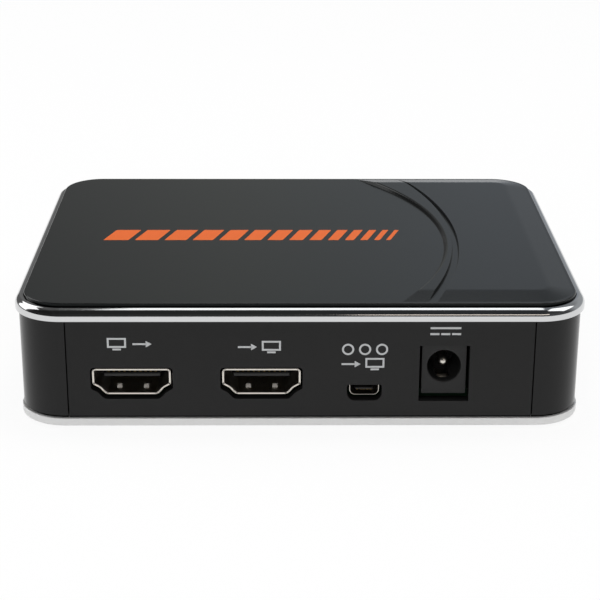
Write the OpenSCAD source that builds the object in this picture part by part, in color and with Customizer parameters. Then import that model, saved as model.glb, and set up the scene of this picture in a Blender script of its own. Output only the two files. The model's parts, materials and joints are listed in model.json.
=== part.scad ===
// Stand-alone video capture box, millimetres.
// +Z is up, the connector panel faces -Y, the origin is the middle of the footprint on the table.

/* [Case] */
// Width of the case over its side walls
case_w = 107.8; // [98:0.1:120]
// Depth of the case over its front and rear panels
case_d = 83.4; // [76:0.1:96]
// Height of the side walls between the trim and the bezel
side_h = 19.5; // [17.5:0.1:26]
// Radius of the upright case corners
corner_r = 9; // [7.5:0.1:11]
// Thickness of the side walls
wall_t = 2; // [1.6:0.1:2.4]
// Thickness of the roof under the top panel
roof_t = 2; // [1.6:0.1:3]
// Thickness of the floor
floor_t = 2.4; // [1.8:0.1:3]
// Clearance between case pieces that slide into each other
fit_gap = 0.1; // [0.05:0.01:0.2]

/* [Top bezel and top panel] */
// Height of the chrome bezel
bezel_h = 2.4; // [2:0.1:3.5]
// Width of the bezel seen from above
bezel_band = 1.65; // [1.5:0.05:2.2]
// Width of the flat between the top panel and the bezel's rounded shoulder
bezel_flat = 0.05; // [0.05:0.05:0.85]
// How far the bezel stands out past the side walls
bezel_overhang = 0.7; // [0.3:0.05:1]
// Thickness of the top panel at its low half
top_t = 1.6; // [1.2:0.1:2.2]
// How far the low half of the top panel stands above the bezel
top_proud = 0.7; // [0.4:0.05:1]
// Gap between the top panel and the bezel
top_gap = 0.12; // [0.08:0.01:0.3]
// Radius of the top panel's rounded edge
top_edge = 0.25; // [0.2:0.05:0.6]
// Height of the ridge and of the right half above the low half
relief_h = 0.7; // [0.3:0.05:1]
// Width of the level rim round the raised half
relief_rim = 0.7; // [0.6:0.1:1.2]
// Width of the slope between the rim and the raised half
relief_slope = 4.6; // [3.5:0.1:5]
// Inner arc of the ridge, at its crest: centre x, centre y, radius
ridge_inner = [-36.7, -3.5, 67.6]; // [-150:0.1:150]
// Outer arc of the ridge, at its crest: centre x, centre y, radius
ridge_outer = [-68.1, -1, 99.7]; // [-150:0.1:150]
// Outer arc of the groove beside the ridge, at its crest: centre x, centre y, radius
groove_outer = [-68.7, -2.9, 101.6]; // [-150:0.1:150]
// Width of the slope inside the ridge
ridge_lean = 0.7; // [0.3:0.05:1]
// Width of the slopes beside the groove
groove_lean = 0.25; // [0.1:0.05:0.25]

/* [Bottom trim, feet and vents] */
// Height of the silver trim
trim_h = 1.6; // [1.4:0.1:2]
// Width of the trim seen from below
trim_band = 3.3; // [2.9:0.1:3.5]
// How far the trim stands out past the side walls
trim_overhang = 0.3; // [0.1:0.05:0.6]
// Radius of the trim's outer edges
trim_round = 0.4; // [0.2:0.05:0.6]
// Width of the floor's lip that carries the trim
lip_w = 1.4; // [1:0.1:1.8]
// Height of the floor's lip
lip_h = 0.4; // [0.3:0.05:0.6]
// Height of the shadow groove between the trim and the walls
groove_h = 0.4; // [0.2:0.1:0.8]
// Depth of the shadow groove
groove_d = 0.4; // [0.2:0.1:0.8]
// Height of the rubber feet below the floor
foot_h = 0.6; // [0.4:0.1:2]
// Radius of the rubber feet
foot_r = 4.5; // [3:0.1:6]
// Depth of the recess that each foot is stuck in
foot_seat = 0.4; // [0.2:0.1:0.8]
// Distance of the feet from the side walls
foot_inset_x = 16; // [15:0.5:22]
// Distance of the feet from the front and rear panels
foot_inset_y = 17; // [16:0.5:20]
// Number of vent slots in the floor
vent_count = 9; // [3:2:11]
// Spacing of the vent slots
vent_pitch = 4.5; // [3.5:0.1:5.5]
// Length of a vent slot
vent_len = 22; // [12:1:30]
// Width of a vent slot
vent_w = 2; // [1.2:0.1:2.6]

/* [Front and rear panels] */
// Thickness of the panels
panel_t = 2; // [1.6:0.1:2.4]
// Distance of the upright seams from the start of the round corners
seam_setback = 0.6; // [0.2:0.1:2]
// Gap between a panel and the walls and bezel round it
seam_gap = 0.2; // [0.1:0.05:0.3]
// Thickness of the tongues that hold the panels behind the corners
tongue_t = 1.2; // [0.8:0.1:1.5]
// Gap between the tongues and the corners that they hold behind
tongue_gap = 0.2; // [0.15:0.05:0.4]
// Reach of the tongues past the seams
tongue_reach = 1.9; // [1:0.1:2.5]
// Width of the root of a tongue on its panel
tongue_root = 2; // [1.5:0.1:3]
// Thickness of the guide ribs behind the tongues
guide_t = 1.2; // [0.8:0.1:1.6]

/* [Case screws] */
// Distance of the screws outside the centres of the round corners
screw_out = 1.5; // [0.5:0.1:1.6]
// Radius of the screw posts under the roof
post_r = 3.2; // [2.6:0.1:3.4]
// Radius of the floor bosses below the posts
boss_r = 3.6; // [3.2:0.1:3.7]
// Height of the floor bosses above the floor
boss_h = 2; // [1:0.1:3]
// Radius of the counterbores for the screw heads
sink_r = 2.8; // [2.7:0.1:3]
// Thickness of the web that the screw heads bear on
sink_web = 1.6; // [1.2:0.1:2]
// Radius of the screw heads
screw_head_r = 2.6; // [2:0.1:2.6]
// Height of the screw heads
screw_head_h = 1.7; // [1.2:0.1:1.8]
// Radius of the screw shanks
screw_r = 1.12; // [0.9:0.01:1.3]
// Length of the screw shanks
screw_len = 8.6; // [6:0.1:11]
// Clearance round a screw shank in its hole
screw_gap = 0.03; // [0.01:0.01:0.1]
// Width of the cross slots in the screw heads
slot_w = 0.6; // [0.4:0.1:0.8]
// Depth of the cross slots
slot_h = 0.8; // [0.4:0.1:0.9]

/* [Main board] */
// Thickness of the board
pcb_t = 1.6; // [1:0.1:2]
// Height of the board's standoffs above the floor
standoff_h = 1.9; // [1.5:0.1:3]
// Radius of the standoffs
standoff_r = 3; // [2.4:0.1:3.4]
// Gap between the board's sides and the floor bosses
pcb_side_gap = 0.8; // [0.4:0.1:2]
// Gap between the board's ends and the panels
pcb_end_gap = 2.1; // [1.6:0.1:3]
// Distance of the board screws from the board's sides
board_screw_inset = 4; // [3.5:0.1:6]
// Distance of the board screws from the board's middle line
board_screw_y = 18; // [15:0.5:20]
// Radius of the board screws' heads
board_head_r = 2.3; // [1.8:0.1:2.6]
// Height of the board screws' heads
board_head_h = 1.6; // [1:0.1:2]
// Length of the board screws' shanks
board_screw_len = 3.6; // [3:0.1:4]
// Clearance round pins and legs in the board
hole_gap = 0.15; // [0.1:0.05:0.25]
// How far pins and legs reach below the board
pin_below = 0.8; // [0.4:0.1:1.2]
// Width of the legs of the socket shells
leg_w = 1.2; // [0.8:0.1:1.6]

/* [Video sockets] */
// Distance of the output socket from the left seam
output_in = 12.3; // [10:0.1:16]
// Distance between the output and the input socket
input_step = 24.6; // [20:0.1:27]
// Outside width of a video socket's shell
hdmi_w = 14.9; // [14:0.1:15.5]
// Outside height of a video socket's shell
hdmi_h = 5.3; // [5.1:0.05:6]
// Width of the flat bottom of the shell
hdmi_base_w = 9.5; // [9:0.1:10.5]
// Height of the shell's shoulders above its bottom
hdmi_shoulder = 2.1; // [1.9:0.05:2.4]
// Width of the step below the shoulders
hdmi_step_in = 1.4; // [1.2:0.05:1.6]
// Height of the step above the shell's bottom
hdmi_step_z = 1.3; // [1.1:0.05:1.5]
// Distance of the knee from the flat bottom
hdmi_knee_in = 0.65; // [0.4:0.05:0.8]
// Height of the knee above the shell's bottom
hdmi_knee_z = 0.5; // [0.35:0.05:0.7]
// Corner cut at the top of the shell
hdmi_top_cut = 0.5; // [0.2:0.05:0.9]
// Metal thickness of the shell
hdmi_wall = 0.4; // [0.3:0.05:0.5]
// Length of the shell
hdmi_len = 11.5; // [10:0.1:13]
// Height of the shell's bottom above the board
hdmi_lift = 0.6; // [0.3:0.05:1]
// Gap between the shell and its cut-out
hdmi_gap = 0.35; // [0.25:0.05:0.5]
// Gap above the shell
hdmi_top_gap = 0.15; // [0.1:0.05:0.3]
// How far the cut-out reaches further below the shell
hdmi_drop = 0.6; // [0:0.05:0.8]
// Width of the tongue that carries the contacts
hdmi_tongue_w = 10.8; // [10.4:0.1:11.4]
// Thickness of the tongue
hdmi_tongue_t = 0.85; // [0.7:0.05:1]
// Height of the tongue's middle above the shell's bottom
hdmi_tongue_z = 3.4; // [3:0.05:3.6]
// How far the tongue stays behind the face of the shell
hdmi_tongue_set = 1.5; // [1:0.1:2.5]
// Depth of the free space in front of the insulator
hdmi_depth = 7.5; // [6.5:0.1:8.5]
// Thickness of the insulator behind the shell
hdmi_back = 1.5; // [1:0.1:2]
// Spacing of the contacts in one row
hdmi_pitch = 1; // [0.95:0.01:1.05]
// Width of a contact
hdmi_contact_w = 0.4; // [0.3:0.02:0.44]
// Distance of the two latch springs from the middle
latch_x = 2.55; // [2:0.05:3.2]
// Width of a latch spring
latch_w = 1.1; // [0.8:0.1:1.6]
// Length of a latch spring
latch_len = 2.2; // [1.6:0.1:3]
// Height of a latch spring above the shell's inner floor
latch_h = 0.4; // [0.2:0.05:0.7]
// Depth of a latch spring's crest behind the face of the shell
latch_y = 3.2; // [2.5:0.1:4]
// Length of the flat crest of a latch spring
latch_crest = 0.4; // [0.2:0.1:0.8]

/* [Component socket] */
// Distance between the input and the component socket
component_step = 19.55; // [17:0.1:21]
// Outside width of the socket's shell
comp_w = 5.75; // [5.2:0.05:6.4]
// Outside height of the shell
comp_h = 2.4; // [2.2:0.05:2.8]
// Width of the round corners at the bottom of the shell
comp_cut = 1.05; // [0.8:0.05:1.2]
// Height of the round corners at the bottom of the shell
comp_cut_h = 1.3; // [1:0.05:1.4]
// Corner cut at the top of the shell
comp_top_cut = 0.3; // [0.2:0.05:0.5]
// Metal thickness of the shell
comp_wall = 0.3; // [0.2:0.05:0.35]
// How far the shell stays behind the panel's face
comp_set = 1; // [0.6:0.1:1.4]
// Length of the shell
comp_len = 7; // [6:0.1:8]
// Gap between the shell and its cut-out
comp_gap = 0.6; // [0.3:0.05:0.7]
// Gap above the shell
comp_top_gap = 0.1; // [0.1:0.05:0.4]
// How far the cut-out reaches further below the shell
comp_drop = 0.5; // [0:0.05:0.7]
// Width of the tongue
comp_tongue_w = 3.5; // [3.2:0.1:3.8]
// Thickness of the tongue
comp_tongue_t = 0.5; // [0.4:0.05:0.6]
// Depth of the free space in front of the insulator
comp_depth = 4; // [3.5:0.1:4.5]
// Spacing of the contacts
comp_pitch = 0.65; // [0.6:0.01:0.7]
// Width of a contact
comp_contact_w = 0.3; // [0.2:0.02:0.4]

/* [Power jack] */
// Distance between the component socket and the power jack
power_step = 15.1; // [12:0.1:17]
// Width of the jack's front block
dc_w = 8.5; // [8:0.1:9]
// Height of the jack's front block
dc_h = 10.2; // [9.8:0.1:11]
// How far the jack stays behind the panel's face
dc_set = 1; // [0.5:0.1:1.5]
// Depth of the jack's front block
dc_block = 3.3; // [2.5:0.1:4]
// Length of the jack
dc_len = 13; // [12:0.1:14]
// Radius of the jack's round body behind the block
dc_body_r = 4; // [3.8:0.05:4.2]
// Height of the jack's hole above the board
dc_axis_z = 6; // [5.6:0.1:6.2]
// Radius of the jack's hole
dc_hole_r = 3.15; // [2.8:0.05:3.3]
// Width of the lead-in round the jack's hole
dc_lead = 0.35; // [0.1:0.05:0.5]
// Depth of the jack's hole
dc_depth = 9.5; // [8:0.1:10]
// Radius of the centre pin
dc_pin_r = 1; // [0.8:0.05:1.25]
// How far the pin's tip stays behind the face of the jack
dc_pin_set = 2; // [0.5:0.1:3]
// Width of the contact spring
dc_spring_w = 2.2; // [1.6:0.1:2.6]
// Thickness of the contact spring
dc_spring_t = 0.3; // [0.2:0.05:0.4]
// Height of the spring's root above the board
dc_spring_z = 1.4; // [1:0.1:1.8]
// Width of the pin's terminal
dc_terminal_w = 2.4; // [1.8:0.1:3]
// Thickness of the pin's terminal
dc_terminal_t = 0.5; // [0.3:0.1:0.8]
// How far the spring rises into the hole
dc_spring_rise = 0.4; // [0.2:0.05:0.6]
// Height of the front block's bottom above the board
dc_lift = 0.3; // [0.1:0.05:0.5]
// Gap beside the jack in its cut-out
dc_gap = 0.5; // [0.3:0.05:0.8]
// Gap above the jack in its cut-out
dc_top_gap = 0.3; // [0.2:0.05:0.6]
// How far the jack's cut-out reaches below the board's upper face
dc_drop = 0.85; // [0.3:0.05:1]

/* [USB socket] */
// Distance of the socket from the left seam
usb_in = 18.3; // [14:0.1:24]
// Outside width of the shell
usb_w = 13.2; // [12.8:0.1:14]
// Outside height of the shell
usb_h = 5.8; // [5.6:0.1:6.4]
// Corner cut of the shell
usb_cut = 0.5; // [0.3:0.05:0.9]
// Metal thickness of the shell
usb_wall = 0.35; // [0.3:0.05:0.5]
// Length of the shell
usb_len = 14; // [13:0.1:16]
// Height of the shell above the board
usb_lift = 0.3; // [0.1:0.05:0.6]
// Width of the tongue
usb_tongue_w = 11.2; // [10.8:0.1:11.6]
// Thickness of the tongue
usb_tongue_t = 1.8; // [1.5:0.05:2]
// Gap between the tongue and the top of the shell
usb_tongue_gap = 0.7; // [0.5:0.05:0.9]
// How far the tongue stays behind the face of the shell
usb_tongue_set = 1; // [0.6:0.1:1.6]
// Depth of the free space in front of the insulator
usb_depth = 9; // [8.5:0.1:10]
// Thickness of the insulator behind the shell
usb_back = 1.2; // [0.8:0.1:2]
// Distance of the two latch springs from the middle
usb_latch_x = 3; // [2:0.1:4.5]
// Depth of the latch springs behind the face of the shell
usb_latch_y = 4.5; // [3:0.1:6.5]
// Spacing of the contacts
usb_pitch = 2.3; // [2:0.05:2.5]
// Width of a contact
usb_contact_w = 1; // [0.8:0.05:1.3]
// Gap between the shell and its cut-out
usb_gap = 0.4; // [0.3:0.05:0.6]

/* [Microphone jack] */
// Distance between the USB socket and the microphone jack
mic_step = 28; // [20:0.1:30]
// Radius of the jack's bore
mic_r = 1.8; // [1.7:0.05:1.9]
// Depth of the bore
mic_depth = 12; // [11:0.1:13]
// Radius of the nose in the panel
mic_nose_r = 2.6; // [2.4:0.05:2.9]
// Width of the jack's body
mic_w = 6.4; // [6:0.1:7]
// Height of the jack's body
mic_h = 5.4; // [5:0.1:6]
// Height of the bore's axis above the board
mic_axis_z = 2.7; // [2.65:0.05:3]
// Thickness of the wall behind the bore
mic_back = 1.7; // [1:0.1:2.5]
// Gap between the nose and its hole in the panel
mic_gap = 0.25; // [0.15:0.05:0.4]

/* [Record button] */
// Distance of the button from the status light
button_step = 11; // [9:0.1:13]
// Radius of the button
button_r = 3.7; // [3.2:0.05:4.2]
// How far the button stands out of the panel
button_proud = 0.5; // [0.3:0.05:0.65]
// Travel of the button
button_travel = 0.4; // [0.25:0.05:0.5]
// Gap between the button and its hole
button_gap = 0.3; // [0.2:0.05:0.5]
// Height of the button's axis above the board
button_z = 4.9; // [4.8:0.1:6]
// Width of the retaining flange round the button
button_flange = 1; // [0.6:0.1:1.2]
// Thickness of the retaining flange
button_flange_t = 0.8; // [0.6:0.1:1.2]
// Depth of the dish in the button's face
button_dish = 0.25; // [0.1:0.05:0.4]
// Radius of the socket behind the button that takes the stem
button_boss_r = 2.6; // [2.3:0.05:3]
// Radius of the switch's stem
stem_r = 1.7; // [1.4:0.05:1.8]
// Length of the stem inside the button
stem_grip = 1.6; // [1.2:0.1:2]
// Width of the retaining flange on the stem
stem_flange = 0.6; // [0.4:0.05:0.65]
// Running gap round the stem
stem_gap = 0.2; // [0.15:0.05:0.3]
// Width of the switch
switch_w = 6.6; // [6.2:0.1:7.5]
// Depth of the switch's body
switch_d = 3.8; // [3.6:0.1:4.5]
// Thickness of the switch's front wall
switch_wall = 0.7; // [0.6:0.05:0.9]
// Metal thickness of the switch's cover and dome
switch_metal = 0.2; // [0.1:0.05:0.3]
// Height of the snap dome
dome_h = 0.6; // [0.5:0.05:0.7]

/* [Status light] */
// Distance of the status light from the right seam
light_in = 9.3; // [7:0.1:12]
// Radius of the light pipe
pipe_r = 1.3; // [1:0.05:1.6]
// Width of the light pipe's flange
pipe_flange = 0.6; // [0.4:0.05:0.8]
// Height of the light pipe's axis above the board
pipe_z = 2.4; // [2.3:0.1:3]
// Length of the light pipe
pipe_len = 5.6; // [4.5:0.1:7]
// Width of the light-emitting diode
led_w = 3.2; // [2.6:0.1:3.6]
// Depth of the light-emitting diode
led_d = 1.6; // [1.2:0.1:2]

/* [Board parts] */
// Place of the processor on the board
processor_at = [0, 4]; // [-40:0.5:40]
// Width of the processor
processor_w = 17; // [14:0.5:19]
// Height of the processor
processor_h = 1.6; // [1.2:0.1:2.2]
// Thickness of the thermal pad
pad_t = 0.8; // [0.5:0.1:1.5]
// Width of the thermal pad
pad_w = 15; // [12:0.5:17]
// Width of the heatsink
sink_w = 22; // [18:0.5:23]
// Thickness of the heatsink's base
sink_base = 1.6; // [1.2:0.1:2.5]
// Height of the heatsink's fins
fin_h = 5; // [3:0.1:6]
// Thickness of a fin
fin_t = 1; // [0.6:0.1:1.4]
// Number of fins
fin_count = 7; // [4:1:9]
// Place of the middle between the two memory chips, from the processor
memory_at = [22, 0]; // [-40:0.5:40]
// Distance between the two memory chips
memory_step = 13; // [11.5:0.5:15]
// Width of a memory chip
memory_w = 13; // [10:0.5:14]
// Depth of a memory chip
memory_d = 9; // [8:0.5:11]
// Height of a memory chip
memory_h = 1.1; // [0.8:0.1:1.4]
// Place of the flash memory, from the left side of the board
flash_at = [17, 6]; // [-40:0.5:40]
// Width of the flash memory
flash_w = 12; // [8:0.5:14]
// Depth of the flash memory
flash_d = 9; // [6:0.5:10]
// Place of the receiver chip, from the middle of the input socket's face
receiver_at = [0.4, 26.7]; // [-40:0.1:40]
// Place of the transmitter chip, from the middle of the output socket's face
transmitter_at = [5, 26.7]; // [-40:0.1:40]
// Width of the receiver and transmitter chips
link_w = 9; // [7:0.5:10]
// Place of the component decoder, from the middle of the component socket
decoder_at = [-2.2, 26.7]; // [-40:0.1:40]
// Width of the component decoder
decoder_w = 8; // [6:0.5:9]
// Place of the audio chip, from the middle of the microphone jack
codec_at = [-12, 19.7]; // [-40:0.1:40]
// Width of the audio chip
codec_w = 6; // [4:0.5:7]
// Height of the leaded chips
chip_h = 1.2; // [0.9:0.1:1.6]
// Spacing of the chips' leads
lead_pitch = 0.8; // [0.65:0.05:1.27]
// Width of a lead
lead_w = 0.35; // [0.25:0.01:0.45]
// Length of a lead outside the chip
lead_out = 0.9; // [0.5:0.1:1.3]
// Thickness of leads and contacts
lead_t = 0.12; // [0.1:0.01:0.2]
// Place of the crystal, from the processor
crystal_at = [-17, -9]; // [-40:0.5:40]
// Length of the crystal's can
crystal_w = 10; // [8:0.1:11]
// Width of the crystal's can
crystal_d = 4; // [3.5:0.1:5]
// Height of the crystal's can
crystal_h = 3.4; // [2.5:0.1:4]
// Place of the middle between the two power coils, from the memory chips
coil_at = [11, -11]; // [-40:0.5:40]
// Distance between the two power coils
coil_step = 9; // [8:0.5:11]
// Width of a power coil
coil_w = 7; // [5:0.5:7.5]
// Height of a power coil
coil_h = 4; // [3:0.1:5]
// Place of the middle of the electrolytic capacitors, from the power coils
electrolytic_at = [-11, -8]; // [-40:0.5:40]
// Spacing of the electrolytic capacitors
electrolytic_step = 7.4; // [7:0.1:8]
// Number of electrolytic capacitors
electrolytic_count = 2; // [1:1:2]
// Radius of an electrolytic capacitor
electrolytic_r = 3.15; // [2.5:0.05:3.2]
// Height of an electrolytic capacitor
electrolytic_h = 7; // [5:0.1:8]
// Place of the voltage regulator, from the right front board screw
regulator_at = [-7, 4]; // [-40:0.5:40]
// Width of the voltage regulator
regulator_w = 6.5; // [6:0.1:7]
// Depth of the voltage regulator
regulator_d = 6; // [5:0.1:6.5]
// Height of the voltage regulator
regulator_h = 2.3; // [1.8:0.1:2.6]
// Number of ceramic capacitors in a row
ceramic_count = 8; // [3:1:9]
// Spacing of the ceramic capacitors
ceramic_pitch = 2.6; // [2.2:0.1:3]
// Length of a ceramic capacitor
ceramic_w = 2; // [1.6:0.1:2.2]
// Width of a ceramic capacitor
ceramic_d = 1.25; // [0.8:0.05:1.5]

/* [Hidden] */
$fn = 48;
eps = 0.5;

// Levels above the table
floor_z0 = foot_h;
floor_z1 = floor_z0 + floor_t;
groove_z = foot_h + trim_h;
wall_z0 = groove_z + groove_h;
wall_z1 = wall_z0 + side_h;
bezel_z1 = wall_z1 + bezel_h;
top_z1 = bezel_z1 + top_proud;
top_z0 = top_z1 - top_t;
roof_z0 = top_z0 - roof_t;
post_z0 = floor_z1 + boss_h;
sink_z = post_z0 - sink_web;
pcb_z0 = floor_z1 + standoff_h;
pcb_z1 = pcb_z0 + pcb_t;

// Plan sizes
bezel_r = corner_r + bezel_overhang;
opening_w = case_w + 2 * bezel_overhang - 2 * bezel_band;
opening_d = case_d + 2 * bezel_overhang - 2 * bezel_band;
opening_r = bezel_r - bezel_band;
top_w = opening_w - 2 * top_gap;
top_d = opening_d - 2 * top_gap;
top_r = opening_r - top_gap;
relief_in = relief_rim + relief_slope;
trim_in_w = case_w + 2 * trim_overhang - 2 * trim_band;
trim_in_d = case_d + 2 * trim_overhang - 2 * trim_band;
trim_in_r = corner_r + trim_overhang - trim_band;
floor_w = trim_in_w - 2 * fit_gap;
floor_d = trim_in_d - 2 * fit_gap;
floor_r = trim_in_r - fit_gap;
seam_x = case_w / 2 - corner_r - seam_setback;
screw_x = case_w / 2 - corner_r + screw_out;
screw_y = case_d / 2 - corner_r + screw_out;
pcb_w = 2 * (screw_x - boss_r - pcb_side_gap);
pcb_d = case_d - 2 * (panel_t + pcb_end_gap);
board_screw_x = pcb_w / 2 - board_screw_inset;
memory_place = processor_at + memory_at;
coil_place = memory_place + coil_at;
foot_x = case_w / 2 - foot_inset_x;
foot_y = case_d / 2 - foot_inset_y;

// Places of the sockets along the panels
output_x = -seam_x + output_in;
input_x = output_x + input_step;
component_x = input_x + component_step;
power_x = component_x + power_step;
usb_x = -seam_x + usb_in;
mic_x = usb_x + mic_step;
light_x = seam_x - light_in;
button_x = light_x - button_step;

// Depths behind the front panel's face, for the record button
button_flange_y = panel_t + button_gap;
button_back_y = button_flange_y + button_flange_t;
button_boss_y = button_back_y + stem_grip + button_travel;
cover_y = button_boss_y + button_travel + button_gap;
switch_y0 = cover_y + switch_metal;
switch_y1 = switch_y0 + switch_d;
chamber_y0 = switch_y0 + switch_wall;
chamber_y1 = switch_y1 - switch_wall;
chamber_r = stem_r + stem_flange + stem_gap;
stem_y0 = button_boss_y - stem_grip;
stem_y1 = chamber_y1 - dome_h - button_travel - stem_gap;
dome_rim_r = stem_r + stem_flange;
dome_r = (dome_rim_r * dome_rim_r + dome_h * dome_h) / (2 * dome_h);
dish_r = (button_r * button_r + button_dish * button_dish) / (2 * button_dish);

// Outlines of the socket shells, from the right half of each
function both_halves(right) =
    concat(right, [for (i = [len(right) - 1:-1:0]) [-right[i][0], right[i][1]]]);
function edge_normal(p, q) = [q[1] - p[1], p[0] - q[0]] / norm(q - p);
function grown(pts, g) = [
    for (i = [0:len(pts) - 1])
        let (before = edge_normal(pts[(i + len(pts) - 1) % len(pts)], pts[i]),
             after = edge_normal(pts[i], pts[(i + 1) % len(pts)]))
        pts[i] + g * (before + after) / (1 + before * after)
];
hdmi_outline = both_halves([
    [hdmi_base_w / 2, 0],
    [hdmi_base_w / 2 + hdmi_knee_in, hdmi_knee_z],
    [hdmi_w / 2 - hdmi_step_in, hdmi_step_z],
    [hdmi_w / 2, hdmi_shoulder],
    [hdmi_w / 2, hdmi_h - hdmi_top_cut],
    [hdmi_w / 2 - hdmi_top_cut, hdmi_h]
]);
comp_outline = both_halves([
    [comp_w / 2 - comp_cut, 0],
    [comp_w / 2 - comp_cut / 3, 0.4 * comp_cut_h],
    [comp_w / 2, comp_cut_h],
    [comp_w / 2, comp_h - comp_top_cut],
    [comp_w / 2 - comp_top_cut, comp_h]
]);
usb_outline = both_halves([
    [usb_w / 2 - usb_cut, 0],
    [usb_w / 2, usb_cut],
    [usb_w / 2, usb_h - usb_cut],
    [usb_w / 2 - usb_cut, usb_h]
]);

// Shapes that repeat

// Rectangle with round corners, about the origin
module round_rect(w, d, r) {
    square([w - 2 * r, d], center = true);
    square([w, d - 2 * r], center = true);
    for (x = [-1, 1], y = [-1, 1])
        translate([x * (w / 2 - r), y * (d / 2 - r)]) circle(r);
}

module slab(w, d, r, z0, z1) {
    translate([0, 0, z0]) linear_extrude(z1 - z0) round_rect(w, d, r);
}

// Carries a section round a rounded rectangle: the section's x points outwards and its y points up
module rim(w, d, r) {
    for (turn = [0:3]) {
        out = turn % 2 == 0 ? w : d;
        along = turn % 2 == 0 ? d : w;
        rotate([0, 0, 90 * turn]) {
            translate([out / 2, along / 2 - r, 0])
                rotate([90, 0, 0]) linear_extrude(along - 2 * r) children();
            translate([out / 2 - r, along / 2 - r, 0])
                rotate_extrude(angle = 90) translate([r, 0]) children();
        }
    }
}

// Slab whose upper edge is rounded
module soft_slab(w, d, r, z0, z1, edge) {
    slab(w, d, r, z0, z1 - edge);
    slab(w - 2 * edge, d - 2 * edge, r - edge, z0, z1);
    translate([0, 0, z1 - edge])
        rim(w - 2 * edge, d - 2 * edge, r - edge)
            intersection() {
                circle(edge);
                square(edge);
            }
}

// Box centred on x, between two depths and two heights
module bar(w, y0, y1, z0, z1) {
    translate([-w / 2, y0, z0]) cube([w, y1 - y0, z1 - z0]);
}

// Box that stands on a level
module brick(w, d, z0, z1) {
    translate([-w / 2, -d / 2, z0]) cube([w, d, z1 - z0]);
}

// Round rod along the depth
module rod(r, y0, y1, z) {
    translate([0, y0, z]) rotate([-90, 0, 0]) cylinder(r = r, h = y1 - y0);
}

// Outline in width and height, carried along the depth
module run(y0, y1) {
    translate([0, y1, 0]) rotate([90, 0, 0]) linear_extrude(y1 - y0) children();
}

// Outline in depth and height, carried across the width
module across(w) {
    translate([-w / 2, 0, 0]) rotate([90, 0, 90]) linear_extrude(w) children();
}

module corners(x, y) {
    for (sx = [-1, 1], sy = [-1, 1]) translate([sx * x, sy * y, 0]) children();
}

// Places on the board: x across, y into the box from the panel's face, z up from the board
module at_rear(x) {
    translate([x, -case_d / 2, pcb_z1]) children();
}
module at_front(x) {
    translate([x, case_d / 2, pcb_z1]) rotate([0, 0, 180]) children();
}
module on_board(place) {
    translate([place[0], place[1], pcb_z1]) children();
}
module beside(place) {
    translate([place[0], place[1], 0]) children();
}

// Two legs on each side of a shell, through the board
module legs(w, wall, depths, top, g = 0) {
    for (s = [-1, 1], y = depths)
        translate([s * (w - wall) / 2, 0, 0])
            bar(wall + 2 * g, y - leg_w / 2 - g, y + leg_w / 2 + g, -pcb_t - pin_below, top);
}

// Two springs pressed up out of the floor of a shell
module latch_springs(x, y, wall) {
    for (s = [-1, 1])
        translate([s * x, y, wall])
            across(latch_w)
                polygon([
                    [-latch_len / 2, -wall / 2],
                    [latch_len / 2, -wall / 2],
                    [latch_crest / 2, latch_h],
                    [-latch_crest / 2, latch_h]
                ]);
}

// One contact: a strip along the tongue, a drop behind the insulator and a foot on the board
module contact(x, z, y0, y1, w) {
    foot_len = 1;
    translate([x, 0, 0]) {
        bar(w, y0, y1 + lead_t, z, z + lead_t);
        bar(w, y1, y1 + lead_t, 0, z + lead_t);
        bar(w, y1, y1 + foot_len, 0, lead_t);
    }
}

// Chip with leads on its four sides
module leaded_chip(w, d, h) {
    standoff = 0.1;
    lead_z = h / 2;
    brick(w, d, standoff, h);
    for (turn = [0:3]) {
        out = turn % 2 == 0 ? w : d;
        along = turn % 2 == 0 ? d : w;
        count = floor((along - 2 * lead_pitch) / lead_pitch);
        rotate([0, 0, 90 * turn])
            for (i = [0:count])
                translate([out / 2, (i - count / 2) * lead_pitch - lead_w / 2, 0]) {
                    translate([-lead_t, 0, lead_z]) cube([lead_t + lead_out / 2, lead_w, lead_t]);
                    translate([lead_out / 2 - lead_t, 0, 0]) cube([lead_t, lead_w, lead_z + lead_t]);
                    translate([lead_out / 2 - lead_t, 0, 0]) cube([lead_out / 2 + lead_t, lead_w, lead_t]);
                }
    }
}

// Pan-head screw standing on its head's seat, shank up
module pan_screw(head_r, head_h, len) {
    difference() {
        translate([0, 0, -head_h]) cylinder(r = head_r, h = head_h);
        for (turn = [0, 90])
            rotate([0, 0, turn]) brick(1.2 * head_r, slot_w, -head_h - eps, -head_h + slot_h);
    }
    cylinder(r = screw_r, h = len);
}

// Case

// Round disc above the low half of the top panel, whose side leans outwards
module arc_disc(arc, lean) {
    translate([arc[0], arc[1], top_z1])
        cylinder(r1 = arc[2] - lean, r2 = arc[2] + lean * eps / relief_h, h = relief_h + eps);
}

// Plateau with sloping sides, before the ridge and the groove are cut out of it
module plateau() {
    w = top_w - 2 * relief_in;
    d = top_d - 2 * relief_in;
    r = top_r - relief_in;
    root = top_t / 4;
    slab(w, d, r, top_z1 - root, top_z1 + relief_h);
    translate([0, 0, top_z1])
        rim(w, d, r)
            polygon([[0, -root], [relief_slope, -root], [relief_slope, 0], [0, relief_h]]);
}

module top_panel() {
    color([0.03, 0.03, 0.035]) {
        soft_slab(top_w, top_d, top_r, top_z0, top_z1, top_edge);
        difference() {
            plateau();
            difference() {
                arc_disc(groove_outer, groove_lean);
                difference() {
                    arc_disc(ridge_outer, -groove_lean);
                    arc_disc(ridge_inner, ridge_lean);
                }
            }
        }
    }
}

module top_bezel() {
    bezel_round = bezel_band - bezel_flat;
    color([0.85, 0.86, 0.88])
        translate([0, 0, wall_z1])
            rim(opening_w, opening_d, opening_r) {
                square([bezel_band, bezel_h - bezel_round]);
                square([bezel_flat, bezel_h]);
                translate([bezel_flat, bezel_h - bezel_round])
                    intersection() {
                        circle(bezel_round);
                        square(bezel_round);
                    }
            }
}

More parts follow.
